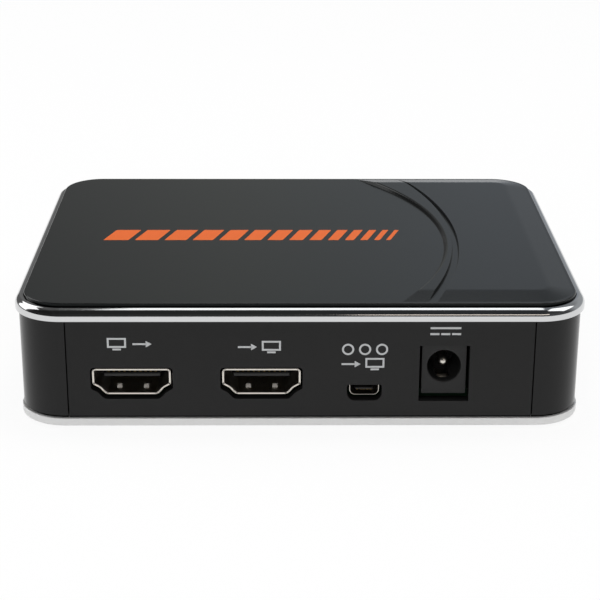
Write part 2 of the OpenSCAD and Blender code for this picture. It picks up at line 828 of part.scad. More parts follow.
// Opening in the case for a panel, at the front or the rear
module panel_window(side) {
    depth = panel_t + fit_gap;
    translate([0, side * (case_d - depth) / 2, 0])
        brick(2 * seam_x, depth + eps, groove_z - eps, wall_z1);
}

// Ribs that hold the panels' tongues against the round corners
module guide_ribs() {
    y1 = case_d / 2 - panel_t - tongue_gap - tongue_t - fit_gap;
    x0 = seam_x + fit_gap;
    intersection() {
        slab(case_w - wall_t, case_d - wall_t, corner_r - wall_t / 2, post_z0, roof_z0 + roof_t / 2);
        for (sx = [0, 1], sy = [0, 1])
            mirror([sx, 0, 0]) mirror([0, sy, 0])
                translate([x0, y1 - guide_t, post_z0])
                    cube([case_w / 2 - x0, guide_t, roof_z0 + roof_t / 2 - post_z0]);
    }
}

module top_cover() {
    color([0.05, 0.05, 0.055])
        difference() {
            union() {
                difference() {
                    union() {
                        slab(case_w, case_d, corner_r, wall_z0, wall_z1);
                        slab(case_w - 2 * groove_d, case_d - 2 * groove_d, corner_r - groove_d,
                             groove_z, roof_z0);
                        slab(top_w, top_d, top_r, roof_z0, top_z0);
                    }
                    slab(case_w - 2 * wall_t, case_d - 2 * wall_t, corner_r - wall_t,
                         groove_z - eps, roof_z0);
                }
                guide_ribs();
                corners(screw_x, screw_y)
                    translate([0, 0, post_z0]) cylinder(r = post_r, h = roof_z0 - post_z0 + roof_t / 2);
            }
            panel_window(1);
            panel_window(-1);
            corners(screw_x, screw_y)
                translate([0, 0, post_z0 - eps]) cylinder(r = screw_r + screw_gap, h = screw_len + eps);
        }
}

// Blank panel in the frame of its own side: x across, y into the box, z from the table
module panel_blank() {
    half = seam_x - seam_gap;
    tongue_y0 = panel_t + tongue_gap;
    tongue_y1 = tongue_y0 + tongue_t;
    tongue_z0 = post_z0;
    tongue_z1 = roof_z0 - fit_gap;
    bar(2 * half, 0, panel_t, wall_z0, wall_z1 - seam_gap);
    bar(2 * half, groove_d, panel_t, groove_z, wall_z1 - seam_gap);
    for (s = [-1, 1]) {
        translate([s * (half - tongue_root / 2), 0, 0])
            bar(tongue_root, panel_t - eps, tongue_y1, tongue_z0, tongue_z1);
        translate([s * (half + (tongue_reach - tongue_root) / 2), 0, 0])
            bar(tongue_root + tongue_reach, tongue_y0, tongue_y1, tongue_z0, tongue_z1);
    }
}

// Cuts an outline above the board through a panel
module panel_cut(x) {
    translate([x, 0, pcb_z1]) run(-eps, panel_t + eps) children();
}

// Cut-out for a shell: its outline with a gap round it, a smaller gap above and more room below
module shell_cut(outline, w, h, gap, top_gap, drop) {
    intersection() {
        for (z = [0, -drop]) translate([0, z]) polygon(grown(outline, gap));
        translate([-w, -w]) square([2 * w, w + h + top_gap]);
    }
}

module rear_panel() {
    color([0.07, 0.07, 0.075])
        translate([0, -case_d / 2, 0])
            difference() {
                panel_blank();
                for (x = [output_x, input_x])
                    panel_cut(x) translate([0, hdmi_lift])
                        shell_cut(hdmi_outline, hdmi_w, hdmi_h, hdmi_gap, hdmi_top_gap, hdmi_drop);
                panel_cut(component_x)
                    shell_cut(comp_outline, comp_w, comp_h, comp_gap, comp_top_gap, comp_drop);
                panel_cut(power_x)
                    translate([-dc_w / 2 - dc_gap, -dc_drop])
                        square([dc_w + 2 * dc_gap, dc_drop + dc_h + dc_top_gap]);
            }
}

module front_panel() {
    color([0.07, 0.07, 0.075])
        translate([0, case_d / 2, 0]) rotate([0, 0, 180])
            difference() {
                panel_blank();
                panel_cut(-usb_x) translate([0, usb_lift]) polygon(grown(usb_outline, usb_gap));
                panel_cut(-mic_x) translate([0, mic_axis_z]) circle(mic_nose_r + mic_gap);
                panel_cut(-button_x) translate([0, button_z]) circle(button_r + button_gap);
                panel_cut(-light_x) translate([0, pipe_z]) circle(pipe_r + fit_gap);
            }
}

module vent_slots() {
    for (i = [0:vent_count - 1])
        translate([(i - (vent_count - 1) / 2) * vent_pitch, 0, floor_z0 - eps])
            linear_extrude(floor_t + 2 * eps) {
                square([vent_w, vent_len - vent_w], center = true);
                for (s = [-1, 1]) translate([0, s * (vent_len - vent_w) / 2]) circle(vent_w / 2);
            }
}

module bottom_cover() {
    color([0.06, 0.06, 0.065])
        difference() {
            union() {
                slab(floor_w, floor_d, floor_r, floor_z0, floor_z1);
                slab(floor_w + 2 * lip_w, floor_d + 2 * lip_w, floor_r + lip_w,
                     floor_z0, floor_z0 + lip_h);
                corners(screw_x, screw_y)
                    translate([0, 0, floor_z0]) cylinder(r = boss_r, h = post_z0 - floor_z0);
                corners(board_screw_x, board_screw_y)
                    translate([0, 0, floor_z0]) cylinder(r = standoff_r, h = pcb_z0 - floor_z0);
            }
            corners(screw_x, screw_y) {
                translate([0, 0, floor_z0 - eps]) cylinder(r = sink_r, h = sink_z - floor_z0 + eps);
                translate([0, 0, floor_z0]) cylinder(r = screw_r + hole_gap, h = boss_h + floor_t + eps);
            }
            corners(board_screw_x, board_screw_y)
                translate([0, 0, pcb_z1 - board_screw_len])
                    cylinder(r = screw_r + screw_gap, h = board_screw_len);
            corners(foot_x, foot_y)
                translate([0, 0, floor_z0 - eps]) cylinder(r = foot_r, h = foot_seat + eps);
            vent_slots();
        }
}

module bottom_trim() {
    seat_w = lip_w + fit_gap;
    seat_h = lip_h + fit_gap / 2;
    core = trim_band - trim_round;
    color([0.78, 0.79, 0.8])
        translate([0, 0, foot_h])
            rim(trim_in_w, trim_in_d, trim_in_r)
                difference() {
                    union() {
                        square([core, trim_h]);
                        translate([0, trim_round]) square([trim_band, trim_h - 2 * trim_round]);
                        for (z = [trim_round, trim_h - trim_round]) translate([core, z]) circle(trim_round);
                    }
                    translate([-eps, -eps]) square([seat_w + eps, seat_h + eps]);
                }
}

module rubber_feet() {
    bevel = 0.4;
    color([0.02, 0.02, 0.02])
        corners(foot_x, foot_y) {
            cylinder(r1 = foot_r - bevel, r2 = foot_r, h = bevel);
            translate([0, 0, bevel]) cylinder(r = foot_r, h = foot_h + foot_seat - bevel);
        }
}

module case_screws() {
    color([0.2, 0.2, 0.21])
        corners(screw_x, screw_y)
            translate([0, 0, sink_z]) pan_screw(screw_head_r, screw_head_h, screw_len);
}

module board_screws() {
    color([0.7, 0.7, 0.68])
        corners(board_screw_x, board_screw_y)
            translate([0, 0, pcb_z1]) mirror([0, 0, 1])
                pan_screw(board_head_r, board_head_h, board_screw_len);
}

// Board with the holes that its parts need

hdmi_leg_depths = [panel_t + pcb_end_gap + 1.5, hdmi_len - 1];
comp_leg_depths = [comp_set + comp_len - 1];
usb_leg_depths = [panel_t + pcb_end_gap + 2, usb_len - 2];

module main_board() {
    color([0.05, 0.25, 0.12])
        difference() {
            brick(pcb_w, pcb_d, pcb_z0, pcb_z1);
            corners(board_screw_x, board_screw_y)
                translate([0, 0, pcb_z0 - eps]) cylinder(r = screw_r + hole_gap, h = pcb_t + 2 * eps);
            for (x = [output_x, input_x])
                at_rear(x) legs(hdmi_w, hdmi_wall, hdmi_leg_depths, eps, hole_gap);
            at_rear(component_x) legs(comp_w, comp_wall, comp_leg_depths, eps, hole_gap);
            at_rear(power_x) {
                dc_pin_terminal(hole_gap);
                dc_spring_terminal(hole_gap);
            }
            at_front(usb_x) legs(usb_w, usb_wall, usb_leg_depths, eps, hole_gap);
        }
}

// Video sockets

module hdmi_shell() {
    lip = 0.7;
    translate([0, 0, hdmi_lift]) {
        run(0, hdmi_len)
            difference() {
                polygon(hdmi_outline);
                polygon(grown(hdmi_outline, -hdmi_wall));
            }
        latch_springs(latch_x, latch_y, hdmi_wall);
    }
    legs(hdmi_w, hdmi_wall, hdmi_leg_depths, hdmi_lift + hdmi_shoulder + lip);
}

module hdmi_contacts() {
    setback = 0.6;
    top_z = hdmi_lift + hdmi_tongue_z + hdmi_tongue_t / 2;
    low_z = hdmi_lift + hdmi_tongue_z - hdmi_tongue_t / 2 - lead_t;
    back_y = hdmi_len + hdmi_back;
    front_y = hdmi_tongue_set + setback;
    for (i = [0:9]) contact((i - 4.5) * hdmi_pitch, top_z, front_y, back_y, hdmi_contact_w);
    for (i = [0:8]) contact((i - 4) * hdmi_pitch, low_z, front_y, back_y, hdmi_contact_w);
}

module hdmi_insulator() {
    side = 0.5;
    tongue_z0 = hdmi_lift + hdmi_tongue_z - hdmi_tongue_t / 2;
    difference() {
        union() {
            translate([0, 0, hdmi_lift])
                run(hdmi_depth, hdmi_len + eps) polygon(grown(hdmi_outline, -hdmi_wall));
            bar(hdmi_w - 2 * side, hdmi_len, hdmi_len + hdmi_back, 0, hdmi_lift + hdmi_h - side);
            bar(hdmi_tongue_w, hdmi_tongue_set, hdmi_depth + eps, tongue_z0, tongue_z0 + hdmi_tongue_t);
        }
        hdmi_contacts();
    }
}

module hdmi_output_shell() {
    color([0.75, 0.73, 0.7]) at_rear(output_x) hdmi_shell();
}
module hdmi_output_insulator() {
    color([0.03, 0.03, 0.03]) at_rear(output_x) hdmi_insulator();
}
module hdmi_output_contacts() {
    color([0.8, 0.65, 0.3]) at_rear(output_x) hdmi_contacts();
}
module hdmi_input_shell() {
    color([0.75, 0.73, 0.7]) at_rear(input_x) hdmi_shell();
}
module hdmi_input_insulator() {
    color([0.03, 0.03, 0.03]) at_rear(input_x) hdmi_insulator();
}
module hdmi_input_contacts() {
    color([0.8, 0.65, 0.3]) at_rear(input_x) hdmi_contacts();
}

// Component socket

comp_back_y = comp_set + comp_len;
comp_tongue_z = comp_h / 2;

module component_socket_shell() {
    color([0.75, 0.7, 0.6])
        at_rear(component_x) {
            run(comp_set, comp_back_y)
                difference() {
                    polygon(comp_outline);
                    polygon(grown(comp_outline, -comp_wall));
                }
            legs(comp_w, comp_wall, comp_leg_depths, comp_h - 2 * comp_wall);
        }
}

module comp_contacts() {
    setback = 0.4;
    z = comp_tongue_z - comp_tongue_t / 2 - lead_t;
    for (i = [-2:2]) contact(i * comp_pitch, z, comp_set + setback * 2, comp_back_y, comp_contact_w);
}

module component_socket_contacts() {
    color([0.8, 0.65, 0.3]) at_rear(component_x) comp_contacts();
}

module component_socket_insulator() {
    setback = 0.4;
    color([0.03, 0.03, 0.03])
        at_rear(component_x)
            difference() {
                union() {
                    run(comp_set + comp_depth, comp_back_y) polygon(grown(comp_outline, -comp_wall));
                    bar(comp_tongue_w, comp_set + setback, comp_set + comp_depth + eps,
                        comp_tongue_z - comp_tongue_t / 2, comp_tongue_z + comp_tongue_t / 2);
                }
                comp_contacts();
            }
}

// Power jack

dc_back_y = dc_set + dc_len;
dc_spring_front = dc_set + 2.2;

module dc_pin_terminal(g = 0) {
    bar(dc_terminal_w + 2 * g, dc_back_y - g, dc_back_y + dc_terminal_t + g,
        -pcb_t - pin_below, dc_axis_z + dc_pin_r);
}

module dc_spring_terminal(g = 0) {
    y = dc_set + dc_depth;
    bar(dc_spring_w + 2 * g, y - dc_spring_t - g, y + g, -pcb_t - pin_below, dc_spring_z + dc_spring_t);
}

module dc_jack_housing() {
    slot_gap = 0.2;
    slot_top = dc_axis_z - dc_hole_r / 2;
    color([0.06, 0.06, 0.065])
        at_rear(power_x)
            difference() {
                union() {
                    bar(dc_w, dc_set, dc_set + dc_block, dc_lift, dc_h);
                    rod(dc_body_r, dc_set, dc_back_y, dc_axis_z);
                    bar(2 * dc_body_r, dc_set + dc_block / 2, dc_back_y, 0, dc_axis_z);
                }
                rod(dc_hole_r, dc_set - eps, dc_set + dc_depth, dc_axis_z);
                translate([0, dc_set, dc_axis_z]) rotate([-90, 0, 0])
                    cylinder(r1 = dc_hole_r + dc_lead, r2 = dc_hole_r, h = dc_lead);
                rod(dc_pin_r + screw_gap, dc_set, dc_back_y + eps, dc_axis_z);
                bar(dc_spring_w + 2 * slot_gap, dc_spring_front - slot_gap, dc_set + dc_depth,
                    -eps, slot_top);
            }
}

module dc_jack_pin() {
    tip_y = dc_set + dc_pin_set + dc_pin_r;
    color([0.8, 0.8, 0.78])
        at_rear(power_x) {
            rod(dc_pin_r, tip_y, dc_back_y + dc_terminal_t, dc_axis_z);
            translate([0, tip_y, dc_axis_z]) sphere(dc_pin_r);
            dc_pin_terminal();
        }
}

module dc_jack_spring() {
    root_y = dc_set + dc_depth;
    top_z = dc_axis_z - dc_hole_r + dc_spring_rise;
    hump_y = dc_spring_front + 1.4;
    nose_z = top_z - 0.9;
    color([0.75, 0.73, 0.68])
        at_rear(power_x) {
            across(dc_spring_w)
                polygon([
                    [root_y, dc_spring_z],
                    [root_y, dc_spring_z + dc_spring_t],
                    [root_y - 2, dc_spring_z + dc_spring_t],
                    [hump_y, top_z],
                    [dc_spring_front, nose_z],
                    [dc_spring_front, nose_z - dc_spring_t],
                    [hump_y, top_z - dc_spring_t],
                    [root_y - 2, dc_spring_z]
                ]);
            dc_spring_terminal();
        }
}

// USB socket

usb_tongue_z1 = usb_lift + usb_h - usb_wall - usb_tongue_gap;
usb_tongue_z0 = usb_tongue_z1 - usb_tongue_t;

module usb_socket_shell() {
    color([0.75, 0.74, 0.72])
        at_front(usb_x) {
            translate([0, 0, usb_lift]) {
                run(0, usb_len)
                    difference() {
                        polygon(usb_outline);
                        polygon(grown(usb_outline, -usb_wall));
                    }
                latch_springs(usb_latch_x, usb_latch_y, usb_wall);
            }
            legs(usb_w, usb_wall, usb_leg_depths, usb_lift + usb_h / 2);
        }
}

module usb_contacts() {
    setback = 0.8;
    for (i = [0:3])
        contact((i - 1.5) * usb_pitch, usb_tongue_z0 - lead_t, usb_tongue_set + setback,
                usb_len + usb_back, usb_contact_w);
}

module usb_socket_contacts() {
    color([0.8, 0.65, 0.3]) at_front(usb_x) usb_contacts();
}

module usb_socket_insulator() {
    side = 0.5;
    color([0.05, 0.05, 0.05])
        at_front(usb_x)
            difference() {
                union() {
                    translate([0, 0, usb_lift])
                        run(usb_depth, usb_len + eps) polygon(grown(usb_outline, -usb_wall));
                    bar(usb_w - 2 * side, usb_len, usb_len + usb_back, 0, usb_lift + usb_h - side);
                    bar(usb_tongue_w, usb_tongue_set, usb_depth + eps, usb_tongue_z0, usb_tongue_z1);
                }
                usb_contacts();
            }
}

// Microphone jack

mic_body_y = panel_t + 2 * fit_gap;

module mic_jack_body() {
    color([0.04, 0.04, 0.04])
        at_front(mic_x)
            difference() {
                union() {
                    bar(mic_w, mic_body_y, mic_depth + mic_back, 0, mic_h);
                    rod(mic_nose_r, 0, mic_body_y + eps, mic_axis_z);
                }
                rod(mic_r, -eps, mic_depth, mic_axis_z);
            }
}

module mic_jack_contacts() {
    tail_w = 1.4;
    foot_len = 1.2;
    color([0.78, 0.76, 0.7])
        at_front(mic_x)
            for (s = [0, 1], y = [mic_body_y + pcb_end_gap + tail_w, mic_depth])
                mirror([s, 0, 0])
                    translate([mic_w / 2, y - tail_w / 2, 0]) {
                        cube([lead_t, tail_w, mic_h / 2]);
                        cube([foot_len, tail_w, lead_t]);
                    }
}

// Record button and its switch

module record_button() {
    color([0.6, 0.05, 0.05])
        at_front(button_x)
            difference() {
                union() {
                    rod(button_r, -button_proud, button_back_y, button_z);
                    rod(button_r + button_flange, button_flange_y, button_back_y, button_z);
                    rod(button_boss_r, button_flange_y, button_boss_y, button_z);
                }
                translate([0, -button_proud - dish_r + button_dish, button_z]) sphere(dish_r, $fn = 96);
                rod(stem_r + screw_gap, stem_y0, button_boss_y + eps, button_z);
            }
}

module record_switch_stem() {
    flange_y = chamber_y0 + stem_gap;
    flange_t = 0.5;
    color([0.85, 0.85, 0.83])
        at_front(button_x) {
            rod(stem_r, stem_y0, stem_y1, button_z);
            rod(stem_r + stem_flange, flange_y, flange_y + flange_t, button_z);
        }
}

module record_switch_body() {
    color([0.05, 0.05, 0.05])
        at_front(button_x)
            difference() {
                bar(switch_w, switch_y0, switch_y1, 0, button_z + switch_w / 2);
                rod(stem_r + stem_gap, switch_y0 - eps, chamber_y0 + eps, button_z);
                rod(chamber_r, chamber_y0, chamber_y1, button_z);
            }
}

module record_switch_cover() {
    cheek_h = button_z;
    color([0.75, 0.75, 0.75])
        at_front(button_x) {
            difference() {
                bar(switch_w + 2 * switch_metal, cover_y, switch_y0, 0, button_z + switch_w / 2);
                rod(stem_r + 2 * stem_gap, cover_y - eps, switch_y0 + eps, button_z);
            }
            for (s = [-1, 1])
                translate([s * (switch_w + switch_metal) / 2, 0, 0])
                    bar(switch_metal, cover_y, switch_y1 - switch_wall, 0, cheek_h);
        }
}

module record_switch_dome() {
    color([0.8, 0.75, 0.6])
        at_front(button_x)
            intersection() {
                translate([0, chamber_y1 - dome_h + dome_r, button_z])
                    difference() {
                        sphere(dome_r, $fn = 96);
                        sphere(dome_r - switch_metal / 2, $fn = 96);
                    }
                rod(dome_rim_r, chamber_y1 - 2 * dome_h, chamber_y1, button_z);
            }
}

// Status light

led_y0 = pipe_len + 2 * fit_gap;

module status_light_pipe() {
    flange_t = 0.8;
    color([0.85, 0.9, 0.9])
        at_front(light_x) {
            rod(pipe_r, 0, pipe_len, pipe_z);
            rod(pipe_r + pipe_flange, panel_t, panel_t + flange_t, pipe_z);
        }
}

module status_led() {
    lens_r = 1.1;
    color([0.9, 0.9, 0.85])
        at_front(light_x) {
            bar(led_w, led_y0, led_y0 + led_d, 0, pipe_z + led_w / 2);
            rod(lens_r, led_y0 - fit_gap, led_y0 + fit_gap, pipe_z);
        }
}

// Parts on the board

module video_processor() {
    color([0.08, 0.08, 0.09]) on_board(processor_at) brick(processor_w, processor_w, 0, processor_h);
}

module thermal_pad() {
    color([0.6, 0.62, 0.65])
        on_board(processor_at) brick(pad_w, pad_w, processor_h, processor_h + pad_t);
}

module heatsink() {
    z0 = processor_h + pad_t;
    step = (sink_w - fin_t) / (fin_count - 1);
    color([0.2, 0.2, 0.22])
        on_board(processor_at) {
            brick(sink_w, sink_w, z0, z0 + sink_base);
            for (i = [0:fin_count - 1])
                translate([i * step - (sink_w - fin_t) / 2, 0, 0])
                    brick(fin_t, sink_w, z0 + sink_base / 2, z0 + sink_base + fin_h);
        }
}

module memory_chips() {
    color([0.07, 0.07, 0.08])
        on_board(memory_place)
            for (s = [-1, 1]) translate([0, s * memory_step / 2, 0]) brick(memory_w, memory_d, 0, memory_h);
}

module flash_memory() {
    color([0.07, 0.07, 0.08]) on_board([-pcb_w / 2, 0]) beside(flash_at) leaded_chip(flash_w, flash_d, chip_h);
}

module hdmi_receiver_chip() {
    color([0.07, 0.07, 0.08]) at_rear(input_x) beside(receiver_at) leaded_chip(link_w, link_w, chip_h);
}

module hdmi_transmitter_chip() {
    color([0.07, 0.07, 0.08]) at_rear(output_x) beside(transmitter_at) leaded_chip(link_w, link_w, chip_h);
}

module component_decoder() {
    color([0.07, 0.07, 0.08]) at_rear(component_x) beside(decoder_at) leaded_chip(decoder_w, decoder_w, chip_h);
}

module audio_codec() {
    color([0.07, 0.07, 0.08]) at_front(mic_x) beside(codec_at) leaded_chip(codec_w, codec_w, chip_h);
}

module crystal() {
    rim_w = 0.4;
    rim_h = 0.5;
    color([0.8, 0.8, 0.8])
        on_board(processor_at + crystal_at) {
            slab(crystal_w, crystal_d, crystal_d / 2 - fit_gap, 0, crystal_h);
            slab(crystal_w + 2 * rim_w, crystal_d + 2 * rim_w, crystal_d / 2, 0, rim_h);
        }
}

module power_inductors() {
    core_r = 0.36 * coil_w;
    dimple = 0.5;
    color([0.25, 0.25, 0.27])
        on_board(coil_place)
            for (s = [-1, 1])
                translate([0, s * coil_step / 2, 0])
                    difference() {
                        slab(coil_w, coil_w, 1, 0, coil_h);
                        translate([0, 0, coil_h - dimple]) cylinder(r = core_r, h = dimple + eps);
                    }
}

module electrolytic_capacitors() {
    base_h = 1.2;
    groove_z = 2.2;
    groove_in = 0.25;
    color([0.75, 0.76, 0.78])
        on_board(coil_place + electrolytic_at)
            for (i = [0:electrolytic_count - 1])
                translate([0, (i - (electrolytic_count - 1) / 2) * electrolytic_step, 0]) {
                    brick(2 * electrolytic_r, 2 * electrolytic_r, 0, base_h);
                    cylinder(r = electrolytic_r - groove_in, h = electrolytic_h);
                    translate([0, 0, groove_z]) cylinder(r = electrolytic_r, h = electrolytic_h - groove_z);
                }
}

module voltage_regulator() {
    tab_d = 1.4;
    tab_t = 0.6;
    pin_w = 0.8;
    pin_pitch = 2.3;
    color([0.1, 0.1, 0.1])
        on_board([board_screw_x, board_screw_y] + regulator_at) {
            brick(regulator_w, regulator_d, 0, regulator_h);
            translate([0, (regulator_d + tab_d) / 2 - fit_gap, 0])
                brick(regulator_w - 1, tab_d, 0, tab_t);
            for (i = [-1:1])
                translate([i * pin_pitch, -(regulator_d + tab_d) / 2 + fit_gap, 0])
                    brick(pin_w, tab_d, 0, tab_t);
        }
}

module ceramic_capacitors() {
    row_gap = 2;
    row_y = sink_w / 2 + row_gap;
    color([0.7, 0.6, 0.45])
        on_board(processor_at)
            for (i = [0:ceramic_count - 1])
                translate([(i - (ceramic_count - 1) / 2) * ceramic_pitch, row_y, 0])
                    brick(ceramic_d, ceramic_w, 0, ceramic_d);
}

top_panel();
top_bezel();
top_cover();
rear_panel();
front_panel();
bottom_cover();
bottom_trim();
rubber_feet();
case_screws();
board_screws();
main_board();
hdmi_output_shell();
hdmi_output_insulator();
hdmi_output_contacts();
hdmi_input_shell();
hdmi_input_insulator();
hdmi_input_contacts();
component_socket_shell();
component_socket_insulator();
component_socket_contacts();
dc_jack_housing();
dc_jack_pin();
dc_jack_spring();
usb_socket_shell();
usb_socket_insulator();
usb_socket_contacts();
mic_jack_body();
mic_jack_contacts();
record_button();
record_switch_body();
record_switch_cover();
record_switch_dome();
record_switch_stem();
status_light_pipe();
status_led();
video_processor();
thermal_pad();
heatsink();
memory_chips();
flash_memory();
hdmi_receiver_chip();
hdmi_transmitter_chip();
component_decoder();
audio_codec();
crystal();
power_inductors();
electrolytic_capacitors();
voltage_regulator();
ceramic_capacitors();
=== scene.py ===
# %% [markdown]
# # A video capture box, dressed for a photograph
#
# This lesson dresses a small video capture box: a flat black case with a chrome bezel, a glossy inlay
# on top and a row of sockets at the back. The construction, with every board part and screw, comes from
# a finished solid model. Here the pieces that show are modelled again with soft edges and true sheet
# metal, and every surface gets its finish. We start by loading the solid model and keeping its box.

# %% Load the solid model
import json
from contextlib import contextmanager
from itertools import product
from math import cos, pi, radians, sin

import bmesh
import bpy
from mathutils import Matrix, Vector


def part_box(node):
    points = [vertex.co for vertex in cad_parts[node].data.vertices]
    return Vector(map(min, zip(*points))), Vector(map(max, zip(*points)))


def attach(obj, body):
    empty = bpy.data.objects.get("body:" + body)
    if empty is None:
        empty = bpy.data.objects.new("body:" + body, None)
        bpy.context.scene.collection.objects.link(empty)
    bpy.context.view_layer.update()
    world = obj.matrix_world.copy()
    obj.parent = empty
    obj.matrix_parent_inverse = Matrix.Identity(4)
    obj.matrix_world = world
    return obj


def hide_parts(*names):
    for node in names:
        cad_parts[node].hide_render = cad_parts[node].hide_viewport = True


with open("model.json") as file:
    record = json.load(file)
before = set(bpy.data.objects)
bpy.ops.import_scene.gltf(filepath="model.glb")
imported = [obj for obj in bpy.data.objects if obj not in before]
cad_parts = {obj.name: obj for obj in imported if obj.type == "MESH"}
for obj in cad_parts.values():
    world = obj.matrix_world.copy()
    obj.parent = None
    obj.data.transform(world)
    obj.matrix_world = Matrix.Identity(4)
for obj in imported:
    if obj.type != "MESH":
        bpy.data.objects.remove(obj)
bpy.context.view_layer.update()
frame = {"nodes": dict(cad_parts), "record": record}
bpy.context.scene.view_settings.view_transform = "Standard"
MM = 0.001


def in_mm(size):
    return [round(side / MM, 2) for side in size]


# %% [markdown]
# ## Camera
#
# The photograph looks down on the connector panel from just left of the middle. A camera can be set by
# eye or worked out from edges whose real size is known. The second way was chosen, because then a piece
# that is in its right place also falls on its right place in the picture. The angles are the camera's
# tilt, turn and roll, and the focal length belongs to a 36 mm sensor.

# %% Camera
CAMERA_PLACE = Vector((-3.342, -329.117, 135.584)) * MM
CAMERA_TILT = radians(20.824)
CAMERA_TURN = radians(-0.637)
CAMERA_ROLL = radians(0.207)
FOCAL_LENGTH = 99.12

across = Vector((cos(CAMERA_TURN), sin(CAMERA_TURN), 0))
level = Vector((-sin(CAMERA_TURN), cos(CAMERA_TURN), 0))
ahead = level * cos(CAMERA_TILT) - Vector((0, 0, 1)) * sin(CAMERA_TILT)
upward = across.cross(ahead)
right = across * cos(CAMERA_ROLL) + upward * sin(CAMERA_ROLL)
top = upward * cos(CAMERA_ROLL) - across * sin(CAMERA_ROLL)

bpy.ops.object.camera_add()
camera = bpy.context.object
camera.name = "photo_camera"
camera.data.sensor_width = 36
camera.data.lens = FOCAL_LENGTH
camera.data.clip_start = 0.01
camera.matrix_world = Matrix.Translation(CAMERA_PLACE) @ Matrix((right, top, -ahead)).transposed().to_4x4()
bpy.context.scene.camera = camera
print("camera height above the table, mm:", round(CAMERA_PLACE.z / MM, 1))

# %% [markdown]
# ## Light and table
#
# Shiny pieces show what stands around them, so the room matters as much as the lamps. A photographer
# would hang a big soft box above and behind the box and keep the room in front dark, so that chrome gets
# one bright line and one dark band. The room is built the same way: the world is a grey wall behind the
# box, lighter and bluer to the right, darker towards the ceiling and nearly black in front. Four soft
# boxes show in reflections: a narrow one above, one at the right and two at the left, which light the
# round corner together but leave the inlay's ridge dark. A weak warm strip in front draws a thin line
# along the chrome. Two fill lamps, one above and one beside the camera, only light matt paint and stay
# out of reflections.

# %% Nodes and their links
def connect(tree, node, inputs):
    """Sets a node's inputs; a pair of another node and one of its outputs makes a link."""
    for label, value in dict(inputs).items():
        if isinstance(value, tuple) and isinstance(value[0], bpy.types.Node):
            tree.links.new(value[0].outputs[value[1]], node.inputs[label])
        else:
            node.inputs[label].default_value = value


def add_node(tree, kind, inputs=(), **settings):
    node = tree.nodes.new("ShaderNode" + kind)
    for label, value in settings.items():
        setattr(node, label, value)
    connect(tree, node, inputs)
    return node


def compute(tree, operation, *values, **settings):
    """A calculation with values or links, returned as a pair that can be linked on."""
    return add_node(tree, "Math", enumerate(values), operation=operation, **settings), "Value"


# %% Walls of the room
FRONT_WALL = 0.1
BACK_WALL = 0.57
WALL_BLEND = 0.2
LEFT_TO_RIGHT = (
    (0.05, (0.4, 0.4, 0.4)), (0.17, (0.6, 0.6, 0.6)), (0.3, (0.47, 0.47, 0.47)),
    (0.47, (0.76, 0.79, 0.77)), (0.55, (0.8, 0.86, 0.9)), (0.62, (0.9, 0.98, 1.08)),
    (0.75, (0.96, 1.03, 1.12)), (0.88, (1.25, 1.3, 1.35)),
)
LOW_TO_HIGH = ((0, 0.7), (0.12, 0.55), (0.42, 0.55), (0.6, 0.36))


def grey(level):
    return (level, level, level)


def colour_ramp(tree, source, stops):
    """A ramp through colours, given as pairs of place and colour."""
    ramp = add_node(tree, "ValToRGB", {"Fac": source})
    elements = ramp.color_ramp.elements
    while len(elements) < len(stops):
        elements.new(0.5)
    for element, (place, colour) in zip(elements, stops):
        element.position, element.color = place, (*colour, 1)
    return ramp, "Color"


world = bpy.data.worlds.new("studio_room")
world.use_nodes = True
bpy.context.scene.world = world
room = world.node_tree
direction = add_node(room, "TexCoord")
split = add_node(room, "SeparateXYZ", {"Vector": (direction, "Generated")})
front_to_back = add_node(room, "MapRange", {
    "Value": (split, "Y"), "From Min": -WALL_BLEND, "From Max": WALL_BLEND,
    "To Min": FRONT_WALL, "To Max": BACK_WALL,
})
shifted = compute(room, "ADD", (split, "X"), 0.5)
height_light = colour_ramp(room, (split, "Z"), [(place, grey(level)) for place, level in LOW_TO_HIGH])
connect(room, room.nodes["Background"], {
    "Color": colour_ramp(room, shifted, LEFT_TO_RIGHT),
    "Strength": compute(room, "MULTIPLY", (front_to_back, "Result"), height_light),
})
print("room walls:", FRONT_WALL, "in front and", BACK_WALL, "behind")


# %% Lamps
def add_lamp(name, place, width, depth, power, aim=(0, 0, 0), in_reflections=True):
    bpy.ops.object.light_add(type="AREA", location=place)
    lamp = bpy.context.object
    lamp.name = name
    lamp.rotation_euler = (Vector(aim) - Vector(place)).to_track_quat("-Z", "Y").to_euler()
    lamp.data.shape = "RECTANGLE"
    lamp.data.size, lamp.data.size_y = width, depth
    lamp.data.energy = power
    lamp.visible_glossy = in_reflections
    return lamp


add_lamp("soft_box", (0.04, 0.38, 0.75), 0.32, 0.76, 1.07, aim=(0.04, 0.38, 0))
add_lamp("left_box", (-0.78, 0.24, 0.49), 0.55, 0.8, 2.2)
add_lamp("left_high_box", (-0.5, 0.5, 0.64), 0.22, 0.4, 0.45)
add_lamp("right_box", (0.59, 0, 0.74), 0.6, 0.6, 1.8)
warm_strip = add_lamp("warm_strip", (0.3, -1.0, 0.44), 0.5, 0.16, 0.33)
warm_strip.data.color = (1, 0.88, 0.78)
add_lamp("top_fill", (0, 0, 1.2), 0.8, 0.8, 6.3, in_reflections=False)
add_lamp("front_fill", (-0.2, -1.0, 0.6), 0.5, 0.5, 5.2, in_reflections=False)

# %% [markdown]
# ### The table
#
# The table's white is seen directly and in reflections, so most of it glows by itself where the camera or
# a mirror looks. A share of it is still plain lit paint, which keeps the box's soft shadow.

